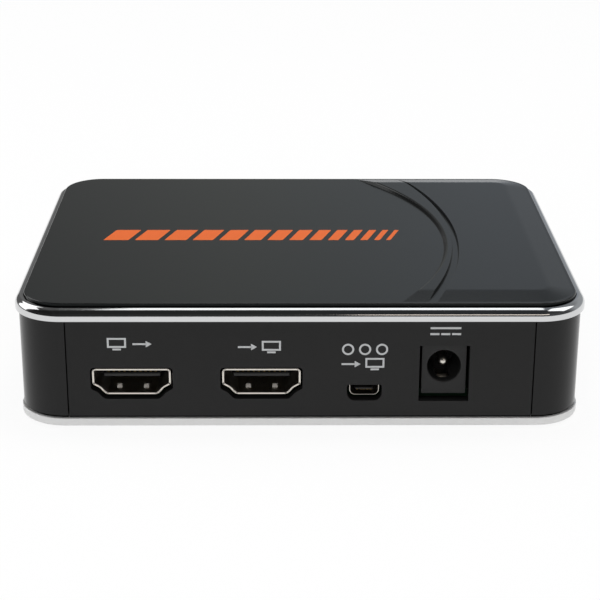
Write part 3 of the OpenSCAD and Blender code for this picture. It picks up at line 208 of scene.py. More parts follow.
# %% White table
TABLE_SIZE = 8
TABLE_GLOW = 0.9
bpy.ops.mesh.primitive_plane_add(size=TABLE_SIZE)
table = bpy.context.object
table.name = "white_table"
paint = bpy.data.materials.new("table_white")
paint.use_nodes = True
tree = paint.node_tree
tree.nodes.clear()
ray = add_node(tree, "LightPath")
seen = compute(tree, "MAXIMUM", (ray, "Is Camera Ray"), (ray, "Is Glossy Ray"))
seen_through = compute(tree, "MAXIMUM", seen, (ray, "Is Transmission Ray"))
lit = add_node(tree, "BsdfDiffuse", {"Color": (*grey(0.9), 1)})
glow = add_node(tree, "Emission")
blend = add_node(tree, "MixShader", {
    "Fac": compute(tree, "MULTIPLY", seen_through, TABLE_GLOW), 1: (lit, "BSDF"), 2: (glow, "Emission"),
})
add_node(tree, "OutputMaterial", {"Surface": (blend, "Shader")})
table.data.materials.append(paint)
print("table of", TABLE_SIZE, "m")

# %% [markdown]
# ## Effects that several finishes share
#
# Moulded plastic has a fine grain, a glossy shell gathers faint smears and edges rub lighter. Recesses and
# one slope of the ridge get painted shade: they are made to mirror little. Each of these could be drawn
# again in every material. A node group is better: it is built once, has named inputs, and every finish that
# needs it sets its own values. All patterns read Object coordinates, so they sit still on the piece.

# %% Node groups
def new_group(name, inputs, outputs):
    """An empty shader group with float inputs, given with their defaults, and float outputs."""
    group = bpy.data.node_groups.new(name, "ShaderNodeTree")
    for label, value in inputs.items():
        socket = group.interface.new_socket(label, in_out="INPUT", socket_type="NodeSocketFloat")
        socket.default_value = value
    for label in outputs:
        group.interface.new_socket(label, in_out="OUTPUT", socket_type="NodeSocketFloat")
    return group, group.nodes.new("NodeGroupInput"), group.nodes.new("NodeGroupOutput")


def grain_effect():
    """Fine bumps, as a spark-eroded mould leaves them; Scale is bumps per metre."""
    group, given, result = new_group("fine_grain", {"Scale": 2500, "Roughness": 0.6}, ["Height"])
    place = add_node(group, "TexCoord")
    noise = add_node(group, "TexNoise", {
        "Vector": (place, "Object"), "Scale": (given, "Scale"), "Roughness": (given, "Roughness"),
        "Detail": 3,
    })
    connect(group, result, {"Height": (noise, "Fac")})
    return group


def smear_effect():
    """Faint wiped smears: a roughness that drifts up from Base by up to Amount."""
    inputs = {"Base": 0.15, "Amount": 0.1, "Scale": 40}
    group, given, result = new_group("wiped_smears", inputs, ["Roughness"])
    place = add_node(group, "TexCoord")
    stretch = add_node(group, "Mapping", {
        "Vector": (place, "Object"), "Scale": (1, 2.4, 1), "Rotation": (0, 0, radians(24)),
    })
    noise = add_node(group, "TexNoise", {
        "Vector": (stretch, "Vector"), "Scale": (given, "Scale"), "Detail": 6, "Roughness": 0.65,
    })
    drift = compute(group, "MULTIPLY_ADD", (noise, "Fac"), (given, "Amount"), (given, "Base"))
    connect(group, result, {"Roughness": drift})
    return group


EDGE_REACH = 0.25 * MM


def edge_effect():
    """How near an edge is: 0 on flat faces, up to 1 on edges, broken up by noise."""
    group, given, result = new_group("rubbed_edges", {"Strength": 1.0}, ["Mask"])
    rounded = add_node(group, "Bevel", {"Radius": EDGE_REACH}, samples=4)
    surface = add_node(group, "NewGeometry")
    facing = add_node(
        group, "VectorMath", {0: (rounded, "Normal"), 1: (surface, "Normal")}, operation="DOT_PRODUCT"
    )
    away = add_node(group, "MapRange", {"Value": (facing, "Value"), "From Min": 1.0, "From Max": 0.75})
    place = add_node(group, "TexCoord")
    noise = add_node(group, "TexNoise", {"Vector": (place, "Object"), "Scale": 900})
    broken = compute(group, "MULTIPLY", (away, "Result"), (noise, "Fac"))
    connect(group, result, {"Mask": compute(group, "MULTIPLY", broken, (given, "Strength"))})
    return group


SLOPE_RANGE = 0.055
SLOPE_SHADE_SHARE = 0.7


def painted_shade_effect():
    """Painted shade mask: 1 below a height, a share of that on faces of one slope, and 0 elsewhere."""
    group, given, result = new_group("painted_shade_mask", {"Height": 0.0, "Slope": 2.0}, ["Mask"])
    place = add_node(group, "TexCoord")
    surface = add_node(group, "NewGeometry")
    place_parts = add_node(group, "SeparateXYZ", {"Vector": (place, "Object")})
    normal_parts = add_node(group, "SeparateXYZ", {"Vector": (surface, "Normal")})
    below = compute(group, "LESS_THAN", (place_parts, "Z"), (given, "Height"))
    sloping = compute(group, "COMPARE", (normal_parts, "Z"), (given, "Slope"), SLOPE_RANGE)
    either = compute(group, "MULTIPLY_ADD", sloping, SLOPE_SHADE_SHARE, below, use_clamp=True)
    connect(group, result, {"Mask": either})
    return group


FINE_GRAIN = grain_effect()
WIPED_SMEARS = smear_effect()
RUBBED_EDGES = edge_effect()
PAINTED_SHADE = painted_shade_effect()
print("shared effects:", [group.name for group in (FINE_GRAIN, WIPED_SMEARS, RUBBED_EDGES, PAINTED_SHADE)])

# %% [markdown]
# ## Finishes
#
# One function builds a finish, because most of them are the same idea with other numbers: a colour that
# turns slightly towards a second one along rubbed edges, a roughness that drifts with smears, and a grain
# that tilts the surface a little. What is the same all over, such as metal or not, is set straight on
# the shader. The plastics differ in gloss and grain, and the metals in colour and polish.

# %% Finish builder
GRAIN_DEPTH = 0.05 * MM


def use_group(tree, group, **values):
    """A node in tree that uses the group, with its inputs set."""
    return add_node(tree, "Group", values, node_tree=group)


def make_finish(
    name, colour, edge_colour, gloss, smear=0.06, smear_scale=60, grain=2500, bump=0.05, shader=()
):
    """A finish of two colours; gloss is the roughness, and shader holds the sockets that are plain."""
    material = bpy.data.materials.new(name)
    material.use_nodes = True
    tree = material.node_tree
    edges = use_group(tree, RUBBED_EDGES)
    smears = use_group(tree, WIPED_SMEARS, Base=gloss - smear / 2, Amount=smear, Scale=smear_scale)
    grains = use_group(tree, FINE_GRAIN, Scale=grain)
    tint = add_node(
        tree, "Mix", {"Factor": (edges, "Mask"), "A": (*colour, 1), "B": (*edge_colour, 1)}, data_type="RGBA"
    )
    relief = add_node(
        tree, "Bump", {"Height": (grains, "Height"), "Strength": bump, "Distance": GRAIN_DEPTH}
    )
    connect(tree, tree.nodes["Principled BSDF"], {
        "Base Color": (tint, "Result"), "Roughness": (smears, "Roughness"), "Normal": (relief, "Normal"),
        **dict(shader),
    })
    return material


def paint_shade(material, height, slope=2.0):
    """Painted shade: faces below the height or of the slope are made metallic and black, so they mirror less
    and look shaded.
    """
    tree = material.node_tree
    shade_mask = use_group(tree, PAINTED_SHADE, Height=height, Slope=slope)
    connect(tree, tree.nodes["Principled BSDF"], {"Metallic": (shade_mask, "Mask")})


# %% Plastic finishes
LOW_GLARE = {"IOR": 1.4}
FINISHES = {
    "top_gloss": make_finish(
        "inlay_gloss", (0.0105, 0.0118, 0.0118), grey(0.05), 0.15, smear_scale=25, grain=700, bump=0.02
    ),
    "case_gloss": make_finish(
        "case_gloss", grey(0.0045), grey(0.009), 0.2, smear=0.08, smear_scale=35, grain=700, bump=0.03,
        shader={"Specular IOR Level": 0.27},
    ),
    "panel_matt": make_finish(
        "panel_matt", grey(0.009), grey(0.014), 0.6, grain=3200, bump=0.35, shader=LOW_GLARE
    ),
    "base_matt": make_finish(
        "base_matt", grey(0.012), grey(0.04), 0.62, grain=2200, bump=0.4, shader=LOW_GLARE
    ),
    "socket_black": make_finish("socket_black", grey(0.006), grey(0.02), 0.45, grain=4000, bump=0.2),
    "jack_black": make_finish(
        "jack_black", grey(0.013), grey(0.035), 0.55, grain=3200, bump=0.3, shader=LOW_GLARE
    ),
    "rubber": make_finish("foot_rubber", grey(0.012), grey(0.03), 0.85, grain=1500, bump=0.6),
    "button_red": make_finish(
        "button_red", (0.42, 0.012, 0.012), (0.55, 0.06, 0.05), 0.3, grain=900, bump=0.04,
        shader={"Coat Weight": 0.4},
    ),
    "stem_white": make_finish("stem_white", grey(0.6), grey(0.7), 0.45, grain=1500, bump=0.1),
    "chip_black": make_finish("chip_black", grey(0.018), grey(0.05), 0.7, grain=5000, bump=0.5),
    "pad_grey": make_finish("pad_grey", grey(0.3), grey(0.36), 0.9, grain=1200, bump=0.5),
    "board_green": make_finish(
        "board_green", (0.004, 0.018, 0.008), grey(0.03), 0.4, grain=1500, bump=0.2
    ),
    "ferrite": make_finish("ferrite", grey(0.05), grey(0.12), 0.65, grain=3500, bump=0.6),
    "ceramic_tan": make_finish("ceramic_tan", (0.4, 0.3, 0.18), grey(0.5), 0.5, grain=3000, bump=0.2),
    "clear_pipe": make_finish(
        "light_pipe_clear", (0.62, 0.66, 0.66), grey(0.7), 0.3, bump=0.01,
        shader={"Transmission Weight": 0.55, "IOR": 1.49},
    ),
}
# Painted shade: the inlay's edge below its top, the lips over the silver strip and the ridge's inner slope
# are darkened.
INLAY_SHADE_BELOW = 24.98 * MM
CASE_SHADE_BELOW = 2.6 * MM
RIDGE_SLOPE = 0.625
paint_shade(FINISHES["top_gloss"], INLAY_SHADE_BELOW, RIDGE_SLOPE)
paint_shade(FINISHES["case_gloss"], CASE_SHADE_BELOW)
paint_shade(FINISHES["panel_matt"], CASE_SHADE_BELOW)

# %% Metal finishes
METAL = {"Metallic": 1.0}
SPRING_TIN = make_finish(
    "spring_tin", (0.72, 0.69, 0.64), (0.8, 0.78, 0.74), 0.38, smear_scale=700, bump=0.08,
    shader={"Metallic": 0.3},
)
FINISHES |= {
    "chrome": make_finish(
        "chrome", (0.63, 0.635, 0.64), grey(0.68), 0.08, smear=0.04, smear_scale=90, bump=0.01, shader=METAL
    ),
    "silver_trim": make_finish(
        "silver_trim", (0.74, 0.74, 0.735), grey(0.8), 0.36, smear=0.08, grain=6000, bump=0.12,
        shader={"Metallic": 0.5},
    ),
    "nickel": make_finish(
        "nickel", (0.7, 0.66, 0.6), (0.8, 0.77, 0.72), 0.3, smear=0.16, smear_scale=700, bump=0.08,
        shader=METAL,
    ),
    "gold": make_finish(
        "contact_gold", (0.5, 0.34, 0.12), (0.6, 0.45, 0.2), 0.3, smear_scale=900, shader=METAL
    ),
    "black_steel": make_finish(
        "black_steel", grey(0.05), grey(0.3), 0.4, smear_scale=500, grain=2000, bump=0.1,
        shader={"Metallic": 0.9},
    ),
    "zinc_steel": make_finish(
        "zinc_steel", (0.6, 0.6, 0.57), grey(0.8), 0.34, smear_scale=500, bump=0.1, shader=METAL
    ),
    "can_aluminium": make_finish(
        "can_aluminium", (0.7, 0.71, 0.73), grey(0.85), 0.32, smear_scale=400, bump=0.08, shader=METAL
    ),
    "heatsink_black": make_finish(
        "heatsink_black", grey(0.03), grey(0.25), 0.45, bump=0.2, shader={"Metallic": 0.6}
    ),
}
print("finishes:", len(FINISHES) + 1)

# %% [markdown]
# ## Dressing the solid model
#
# Every node of the solid model names a slot in its record, such as nickel or panel_matt. The nodes whose
# own shape is right, such as the board and its parts, only need their finish, so a loop looks each slot
# up. The pieces that show most are modelled below and then take the place of their nodes.

# %% Finishes for the solid nodes
slot_of_node = {part["node"]: part["material_slot"] for part in frame["record"]["subparts"]}
for node_name, solid in frame["nodes"].items():
    solid.data.materials.clear()
    solid.data.materials.append(FINISHES[slot_of_node[node_name]])
print("solid nodes with a finish:", len(frame["nodes"]))

# %% [markdown]
# ## Modelling by hand, in code
#
# Each new piece is made as it would be with the mouse: add a primitive, go into edit mode, select some
# faces or edges, run an operator. In code the mouse is replaced by a test on the place or direction of
# each face, edge or point. The helpers below hold the steps that every piece needs: adding a primitive at
# its place, selecting, applying a modifier, and handing the finished piece over to its body.

# %% Selecting and editing
TINY = 0.004 * MM


def take(*pieces):
    """Selects only these pieces and makes the first one active."""
    bpy.ops.object.select_all(action="DESELECT")
    for piece in pieces:
        piece.select_set(True)
    bpy.context.view_layer.objects.active = pieces[0]


@contextmanager
def editing(piece):
    take(piece)
    bpy.ops.object.mode_set(mode="EDIT")
    yield
    bpy.ops.object.mode_set(mode="OBJECT")


def select_where(piece, mode, elements, test):
    """In edit mode, selects the elements of the edited mesh that pass the test."""
    bpy.ops.mesh.select_mode(type=mode)
    bpy.ops.mesh.select_all(action="DESELECT")
    mesh = bmesh.from_edit_mesh(piece.data)
    for element in list(getattr(mesh, elements)):
        if test(element):
            element.select_set(True)
    mesh.select_flush_mode()
    bmesh.update_edit_mesh(piece.data)


def choose_points(piece, test):
    select_where(piece, "VERT", "verts", lambda point: test(point.co))


def choose_edges(piece, test):
    """The test gets each edge's middle and its direction."""

    def fits(edge):
        start, end = (point.co for point in edge.verts)
        return test((start + end) / 2, (end - start).normalized())

    select_where(piece, "EDGE", "edges", fits)


def choose_faces(piece, test):
    """The test gets each face's middle and its normal."""
    select_where(piece, "FACE", "faces", lambda face: test(face.calc_center_median(), face.normal))


def facing(axis, way):
    """A test for faces that look along an axis, or against it."""
    return lambda middle, normal: way * getattr(normal, axis) > 0.9


def upright(middle, along):
    """A test for edges along Z."""
    return abs(along.z) > 0.9


def select_all():
    bpy.ops.mesh.select_all(action="SELECT")


def extrude(x=0, y=0, z=0):
    bpy.ops.mesh.extrude_region_move(TRANSFORM_OT_translate={"value": (x, y, z)})


def bevel_where(piece, test, offset, segments):
    """Rounds the edges that pass the test."""
    with editing(piece):
        choose_edges(piece, test)
        bpy.ops.mesh.bevel(offset=offset, segments=segments)


def bevel_corners(offset, segments):
    """In edit mode, rounds the selected corners of a flat face."""
    bpy.ops.mesh.bevel(offset=offset, segments=segments, affect="VERTICES")


# %% Adding primitives and finishing pieces
def add_piece(name, operator, scale=(1, 1, 1), **settings):
    """Adds a primitive, names it, scales it and puts its place into its mesh."""
    bpy.ops.object.select_all(action="DESELECT")
    operator(**settings)
    piece = bpy.context.object
    piece.name = piece.data.name = name
    piece.scale = scale
    bpy.ops.object.transform_apply(location=True, rotation=True, scale=True)
    return piece


def add_block(name, low, high):
    low, high = Vector(low), Vector(high)
    return add_piece(
        name, bpy.ops.mesh.primitive_cube_add, high - low, size=1, location=(low + high) / 2
    )


def add_rod(name, radius, start, end, sides=96):
    """A round bar from one point to another."""
    start, end = Vector(start), Vector(end)
    return add_piece(
        name, bpy.ops.mesh.primitive_cylinder_add, vertices=sides, radius=radius,
        depth=(end - start).length, location=(start + end) / 2,
        rotation=(end - start).to_track_quat("Z", "Y").to_euler(),
    )


def add_upright_face(name, middle, width, height):
    """A flat face that looks along -Y."""
    return add_piece(
        name, bpy.ops.mesh.primitive_plane_add, (width, height, 1),
        size=1, location=middle, rotation=(pi / 2, 0, 0),
    )


def apply_modifier(piece, kind, **settings):
    take(piece)
    modifier = piece.modifiers.new(kind.title(), kind)
    for label, value in settings.items():
        setattr(modifier, label, value)
    bpy.ops.object.modifier_apply(modifier=modifier.name)


def combine(piece, tool, operation="DIFFERENCE"):
    """Cuts the tool out of the piece, or adds it, and throws the tool away."""
    apply_modifier(piece, "BOOLEAN", object=tool, operation=operation, solver="EXACT")
    bpy.data.objects.remove(tool)


def soften_edges(piece, width, segments=2, sharper_than=40):
    apply_modifier(
        piece, "BEVEL", width=width, segments=segments, limit_method="ANGLE",
        angle_limit=radians(sharper_than),
    )


def close_mesh(piece):
    """Merges doubles and turns all faces outwards."""
    with editing(piece):
        select_all()
        bpy.ops.mesh.remove_doubles(threshold=TINY)
        bpy.ops.mesh.normals_make_consistent(inside=False)


def join_pieces(*pieces):
    take(*pieces)
    bpy.ops.object.join()
    return pieces[0]


def hand_over(piece, slot, stands_for=(), body="case", finish=None):
    """Smooths the piece, gives it its slot's finish or another, and lets it ride on its body."""
    take(piece)
    bpy.ops.object.shade_smooth_by_angle(angle=radians(38))
    apply_modifier(piece, "WEIGHTED_NORMAL", keep_sharp=True)
    piece.data.materials.clear()
    piece.data.materials.append(finish or FINISHES[slot])
    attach(piece, body)
    if stands_for:
        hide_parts(*stands_for)
    print(f"{piece.name}: {len(piece.data.polygons)} faces, {in_mm(piece.dimensions)} mm")


def middle_x(node):
    low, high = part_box(node)
    return (low.x + high.x) / 2


# %% [markdown]
# ## The glossy inlay
#
# The top is one moulded plate that lies in the bezel's frame. Its right half is a low plateau whose
# sides slope down to a narrow rim, and a curved ridge with a groove beside it runs along the plateau's
# left end like two comet tails. A sculptor might pull the steps out of a dense grid, but then the arcs
# would wobble. Here the plate is a cube with round corners. The plateau is a second one, whose top face
# is inset and lifted, so that slopes appear on all four sides.

# %% Inlay plate and plateau
inlay_low, inlay_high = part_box("top_panel")
RELIEF = 0.7 * MM
INLAY_CORNER = 7.93 * MM
INLAY_EDGE = 0.25 * MM
PLATEAU_RIM = 0.7 * MM
PLATEAU_SLOPE = 4.6 * MM
PLATEAU_ROUND = 0.5 * MM
plate_z = inlay_high.z - RELIEF


def inlay_slab(name, inset, bottom, top_z):
    """A slab of the inlay's outline, some way smaller all round."""
    slab = add_block(
        name, (inlay_low.x + inset, inlay_low.y + inset, bottom),
        (inlay_high.x - inset, inlay_high.y - inset, top_z),
    )
    bevel_where(slab, upright, INLAY_CORNER - inset, 20)
    return slab


inlay = inlay_slab("glossy_inlay", 0, inlay_low.z, plate_z)
bevel_where(inlay, lambda middle, along: middle.z > plate_z - TINY, INLAY_EDGE, 4)
plateau = inlay_slab("plateau", PLATEAU_RIM, inlay_low.z + MM, plate_z)
with editing(plateau):
    choose_faces(plateau, facing("z", 1))
    bpy.ops.mesh.inset(thickness=PLATEAU_SLOPE)
    bpy.ops.transform.translate(value=(0, 0, RELIEF))
bevel_where(plateau, lambda middle, along: middle.z > inlay_high.z - TINY, PLATEAU_ROUND, 4)

# %% [markdown]
# ### Ridge and groove
#
# Big discs with leaning sides cut the ridge and the groove out of the plateau. A disc that cuts grows
# towards its top, and the disc that stands for the ridge shrinks, so every wall leans and can be seen
# from above. What is left is joined with the plate and the ridge's crest is rounded. A small bevel lets
# every other edge catch the light, and the foot of the slopes is marked sharp, so that the slopes stay
# flat to the eye.

# %% Ridge and groove
RIDGE_INNER = (-36.7 * MM, -3.5 * MM, 67.15 * MM)
RIDGE_OUTER = (-68.1 * MM, -1 * MM, 99.7 * MM)
GROOVE_OUTER = (-68.7 * MM, -2.9 * MM, 101.6 * MM)
RIDGE_LEAN = 0.56 * MM
RIDGE_ROUND = 0.28 * MM
GROOVE_LEAN = 0.25 * MM
CREST_EDGE = 0.12 * MM
CREST_WITHIN = 0.02 * MM


def arc_disc(name, arc, lean):
    """A disc from the plate's level to twice the relief; it has the arc's radius at the relief's height."""
    x, y, radius = arc
    return add_piece(
        name, bpy.ops.mesh.primitive_cone_add, vertices=480, radius1=radius - lean,
        radius2=radius + lean, depth=2 * RELIEF, location=(x, y, inlay_high.z),
    )


sunken = arc_disc("sunken_area", GROOVE_OUTER, GROOVE_LEAN)
ridge = arc_disc("ridge_area", RIDGE_OUTER, -GROOVE_LEAN)
combine(ridge, arc_disc("ridge_hollow", RIDGE_INNER, RIDGE_LEAN))
combine(sunken, ridge)
combine(plateau, sunken)
combine(inlay, plateau, "UNION")
ridge_centre = Vector((*RIDGE_INNER[:2], inlay_high.z))
bevel_where(
    inlay, lambda middle, along: abs((middle - ridge_centre).length - RIDGE_INNER[2]) < CREST_WITHIN,
    RIDGE_ROUND, 5,
)
soften_edges(inlay, CREST_EDGE, 3)
with editing(inlay):
    choose_edges(
        inlay,
        lambda middle, along: abs(middle.z - plate_z) < TINY and middle.x > 0
        and abs(middle.y) < inlay_high.y - PLATEAU_RIM + TINY,
    )
    bpy.ops.mesh.mark_sharp()
hand_over(inlay, "top_gloss", ["top_panel"])

# %% [markdown]
# ## Pieces that run round the case
#
# The bezel, the side walls and the silver strip all have one section that runs round the same rounded
# rectangle. Beveling a ring would give round corners but no true bullnose. So the section is drawn first,
# as a small upright face with its corners beveled. Its outline is then extruded along half of the back,
# spun a quarter turn round the corner and extruded along half of the side. A mirror makes the rest.

# %% Running a section round a corner
def section_outline(name, x, low, high):
    """The upright outline of a section at x, from its outer low corner to its inner high corner."""
    middle = ((low[0] + high[0]) / 2, (low[1] + high[1]) / 2)
    return add_piece(
        name, bpy.ops.mesh.primitive_plane_add, (high[0] - low[0], high[1] - low[1], 1),
        size=1, location=(x, *middle), rotation=(pi / 2, 0, pi / 2),
    )


def round_section(piece, radius, test, segments):
    with editing(piece):
        choose_points(piece, test)
        bevel_corners(radius, segments)


def run_round(piece, start_x, corner, steps=32):
    """Carries the outline from start_x round one corner of the case to the middle of its side."""
    with editing(piece):
        select_all()
        bpy.ops.mesh.delete(type="ONLY_FACE")
        select_all()
        extrude(x=corner.x - start_x)
        bpy.ops.mesh.spin(steps=steps, angle=-pi / 2, center=corner, axis=(0, 0, 1))
        extrude(y=-corner.y)


def mirror_round(piece):
    apply_modifier(piece, "MIRROR", use_axis=(True, True, False), merge_threshold=TINY)
    close_mesh(piece)


# %% [markdown]
# ### The chrome bezel
#
# A plated plastic frame with a round shoulder, the bullnose, which is what turns the room into one bright
# and one dark line. Its section is a small rectangle whose outer upper corner gets a wide bevel.

# %% Chrome bezel
bezel_low, bezel_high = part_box("top_bezel")
case_low, case_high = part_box("top_cover")
CASE_CORNER = 9 * MM
BEZEL_BAND = 1.65 * MM
BEZEL_ROUND = 1.6 * MM
corner_centre = Vector((case_high.x - CASE_CORNER, case_low.y + CASE_CORNER, 0))

bezel = section_outline(
    "chrome_bezel", 0, (bezel_low.y, bezel_low.z), (bezel_low.y + BEZEL_BAND, bezel_high.z)
)
round_section(bezel, BEZEL_ROUND, lambda p: p.y < bezel_low.y + TINY and p.z > bezel_high.z - TINY, 16)
round_section(bezel, 0.12 * MM, lambda p: p.z < bezel_low.z + TINY, 3)
run_round(bezel, 0, corner_centre)
mirror_round(bezel)
hand_over(bezel, "chrome", ["top_bezel"])

# %% [markdown]
# ### The side walls
#
# The glossy side walls wrap round the corners and end at two upright seams on the back and two on the
# front, where the flat panels slide in. The seams are what makes the corners read as separate pieces, so
# the wall ends are filled and get a soft edge. Below, a thinner lip stands back from the wall and leaves a
# shadow groove over the silver strip. The roof under the inlay belongs to the same moulding.

# %% Side walls and roof
rear_low, rear_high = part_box("rear_panel")
wall_top = bezel_low.z
WALL = 2 * MM
GROOVE = 0.4 * MM
SEAM_X = case_high.x - CASE_CORNER - 0.6 * MM
ROOF = 2 * MM


def wall_run(name, outer, low_z, high_z):
    """A wall from seam to seam on both sides, whose outer face stands some way behind the case's face."""
    wall = section_outline(name, SEAM_X, (case_low.y + outer, low_z), (case_low.y + WALL, high_z))
    run_round(wall, SEAM_X, corner_centre)
    with editing(wall):
        choose_edges(wall, lambda middle, along: middle.x < SEAM_X + TINY and abs(along.x) < 0.1)
        bpy.ops.mesh.edge_face_add()
    mirror_round(wall)
    return wall


walls = wall_run("side_walls", 0, case_low.z + GROOVE, wall_top)
soften_edges(walls, 0.12 * MM, 3, sharper_than=60)
walls = join_pieces(
    walls, wall_run("wall_lip", GROOVE, case_low.z, case_low.z + 2 * GROOVE),
    inlay_slab("roof", 0, inlay_low.z - ROOF, inlay_low.z),
)
hand_over(walls, "case_gloss", ["top_cover"])

# %% [markdown]
# ### The silver strip
#
# A painted silver strip goes round the bottom edge. Its upper edge is crisp and its lower edge rounded,
# so it shows as a pale line that turns under at the table.

# %% Silver strip
trim_low, trim_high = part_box("bottom_trim")
TRIM_BAND = 3.3 * MM
trim = section_outline("silver_strip", 0, (trim_low.y, trim_low.z), (trim_low.y + TRIM_BAND, trim_high.z))
round_section(trim, 0.1 * MM, lambda p: p.y < trim_low.y + TINY and p.z > trim_high.z - TINY, 3)
round_section(trim, 0.3 * MM, lambda p: p.y < trim_low.y + TINY and p.z < trim_low.z + TINY, 5)
run_round(trim, 0, corner_centre)
mirror_round(trim)
hand_over(trim, "silver_trim", ["bottom_trim"])

# %% [markdown]
# ## The video sockets
#
# A video socket is a folded sheet-metal shell: a wide mouth whose lower corners step in, round a flat
# black tongue with its contacts. The outline is cut from a plain face: two slanted bisects take the lower
# corners off, two points in each slope are moved to make it bend twice, and beveled corners make it look
# bent and not filed. An inset leaves the metal's thickness, and an extrude gives the depth. The same
# outline, a little larger, later cuts the openings in the panel, so shell and opening always match.

# %% Outline of a video socket
VIDEO_H = 5.3 * MM
VIDEO_SHOULDER = 2.1 * MM
VIDEO_TOE = 2.7 * MM
VIDEO_BENDS = ((1, -0.5 * MM, -0.1 * MM), (2, -0.25 * MM, -0.2 * MM))
VIDEO_TOP_ROUND = 0.75 * MM
VIDEO_LOW_ROUND = 0.3 * MM
VIDEO_WALL = 0.4 * MM
VIDEO_DEPTH = 11.5 * MM


def video_face(name, node, y, grow=0.0, above=0.0, drop=0.0):
    """The socket's outline as a face at depth y, grown beside and below, grown above, and dropped."""
    low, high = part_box(node)
    middle = middle_x(node)
    half = (high.x - low.x) / 2 + grow
    top_z = high.z + above - drop
    bottom = high.z - VIDEO_H - grow - drop
    face = add_upright_face(name, (middle, y, (top_z + bottom) / 2), 2 * half, top_z - bottom)
    with editing(face):
        for side in (-1, 1):
            shoulder = (middle + side * half, y, bottom + VIDEO_SHOULDER)
            outwards = Vector((side * VIDEO_SHOULDER, 0, -VIDEO_TOE)).normalized()
            select_all()
            bpy.ops.mesh.bisect(plane_co=shoulder, plane_no=outwards, clear_outer=True, threshold=TINY)
        choose_edges(face, lambda centre, along: abs(along.x) > 0.4 and abs(along.z) > 0.4)
        bpy.ops.mesh.subdivide(number_cuts=2)
        for side, (third, inwards, upwards) in product((-1, 1), VIDEO_BENDS):
            bend_x = middle + side * (half - VIDEO_TOE * third / 3)
            choose_points(face, lambda p: abs(p.x - bend_x) < 2 * TINY and p.z < bottom + VIDEO_SHOULDER)
            bpy.ops.transform.translate(value=(side * inwards, 0, upwards))
        choose_points(face, lambda p: p.z > top_z - TINY)
        bevel_corners(VIDEO_TOP_ROUND, 6)
        choose_points(face, lambda p: p.z < bottom + VIDEO_SHOULDER + TINY)
        bevel_corners(VIDEO_LOW_ROUND, 4)
    return face


def punch(face, depth):
    """Extrudes a face along Y to a solid."""
    with editing(face):
        select_all()
        extrude(y=depth)
    close_mesh(face)
    return face


def keep_border(face, width):
    """Keeps only a band along the edge of a flat face."""
    with editing(face):
        bpy.ops.mesh.select_mode(type="FACE")
        select_all()
        bpy.ops.mesh.inset(thickness=width)
        bpy.ops.mesh.delete(type="FACE")
    return face


def fold_shell(face, wall, depth):
    """Turns a face into an open sheet-metal shell that goes back from it."""
    front = face.data.vertices[0].co.y
    back = depth / abs(depth)
    shell = punch(keep_border(face, wall), depth)
    bevel_where(
        shell, lambda centre, along: (centre.y - front) * back < TINY and abs(along.y) < 0.1, 0.1 * MM, 3
    )
    return shell


def latch_springs(name, middle, reach, y, floor_z):
    """A pair of pressed springs in the floor of a shell: small blocks whose tops are drawn together."""
    length, width, height, crest = 2.2 * MM, 1.1 * MM, 0.4 * MM, 0.25
    springs = []
    for x in (middle - reach, middle + reach):
        spring = add_block(
            name, (x - width / 2, y - length / 2, floor_z - 0.1 * MM),
            (x + width / 2, y + length / 2, floor_z + height),
        )
        with editing(spring):
            choose_faces(spring, facing("z", 1))
            bpy.ops.transform.resize(value=(0.8, crest, 1), center_override=(x, y, floor_z + height))
        soften_edges(spring, 0.08 * MM, 2, 20)
        springs.append(spring)
    return springs


def shell_legs(low, high, wall, top_z, places):
    """Solder legs at both sides of a shell, at each y of places, narrower at their lower ends."""
    legs = []
    reach = wall / 2 - TINY
    for x, y in product((low.x + wall / 2, high.x - wall / 2), places):
        leg = add_block("leg", (x - reach, y - LEG_W / 2, low.z), (x + reach, y + LEG_W / 2, top_z))
        with editing(leg):
            choose_faces(leg, facing("z", -1))
            bpy.ops.transform.resize(value=(1, 0.5, 1), center_override=(x, y, low.z))
        legs.append(leg)
    return legs


# %% Video socket shells
LATCH_X = 2.55 * MM
LATCH_Y = 3.2 * MM
LEG_W = 1.2 * MM
VIDEO_LEGS = (5.6 * MM, 10.5 * MM)
VIDEO_LEG_TOP = 2.8 * MM


def video_socket(name, node):
    low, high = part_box(node)
    shell = fold_shell(video_face(name, node, low.y), VIDEO_WALL, VIDEO_DEPTH)
    bottom = high.z - VIDEO_H
    springs = latch_springs(f"{name}_spring", middle_x(node), LATCH_X, low.y + LATCH_Y, bottom + VIDEO_WALL)
    leg_places = [low.y + depth for depth in VIDEO_LEGS]
    legs = shell_legs(low, high, VIDEO_WALL, bottom + VIDEO_LEG_TOP, leg_places)
    hand_over(join_pieces(shell, *legs), "nickel", [node])
    hand_over(join_pieces(*springs), "nickel", finish=SPRING_TIN)


video_socket("output_shell", "hdmi_output_shell")
video_socket("input_shell", "hdmi_input_shell")

# %% [markdown]
# ### Their tongues
#
# The black moulding inside fills the rear of the shell and ends in a flat tongue. Its block is the shell's
# outline once more, a wall's thickness smaller. The tongue is a plain block whose front edges are
# rounded, so that only a thin line of it shows in the dark mouth.

# %% Tongues of the video sockets
TONGUE_W = 10.8 * MM
TONGUE_T = 0.85 * MM
TONGUE_Z = 3.4 * MM
TONGUE_FRONT = 1.5 * MM
TONGUE_BLOCK = 7.5 * MM
TONGUE_ROUND = 0.26 * MM


def flat_tongue(name, x, z, width, thick, front, back, rounding):
    """A flat tongue whose front edges are rounded."""
    tongue = add_block(name, (x - width / 2, front, z - thick / 2), (x + width / 2, back, z + thick / 2))
    bevel_where(tongue, lambda centre, along: centre.y < front + TINY, rounding, 4)
    return tongue


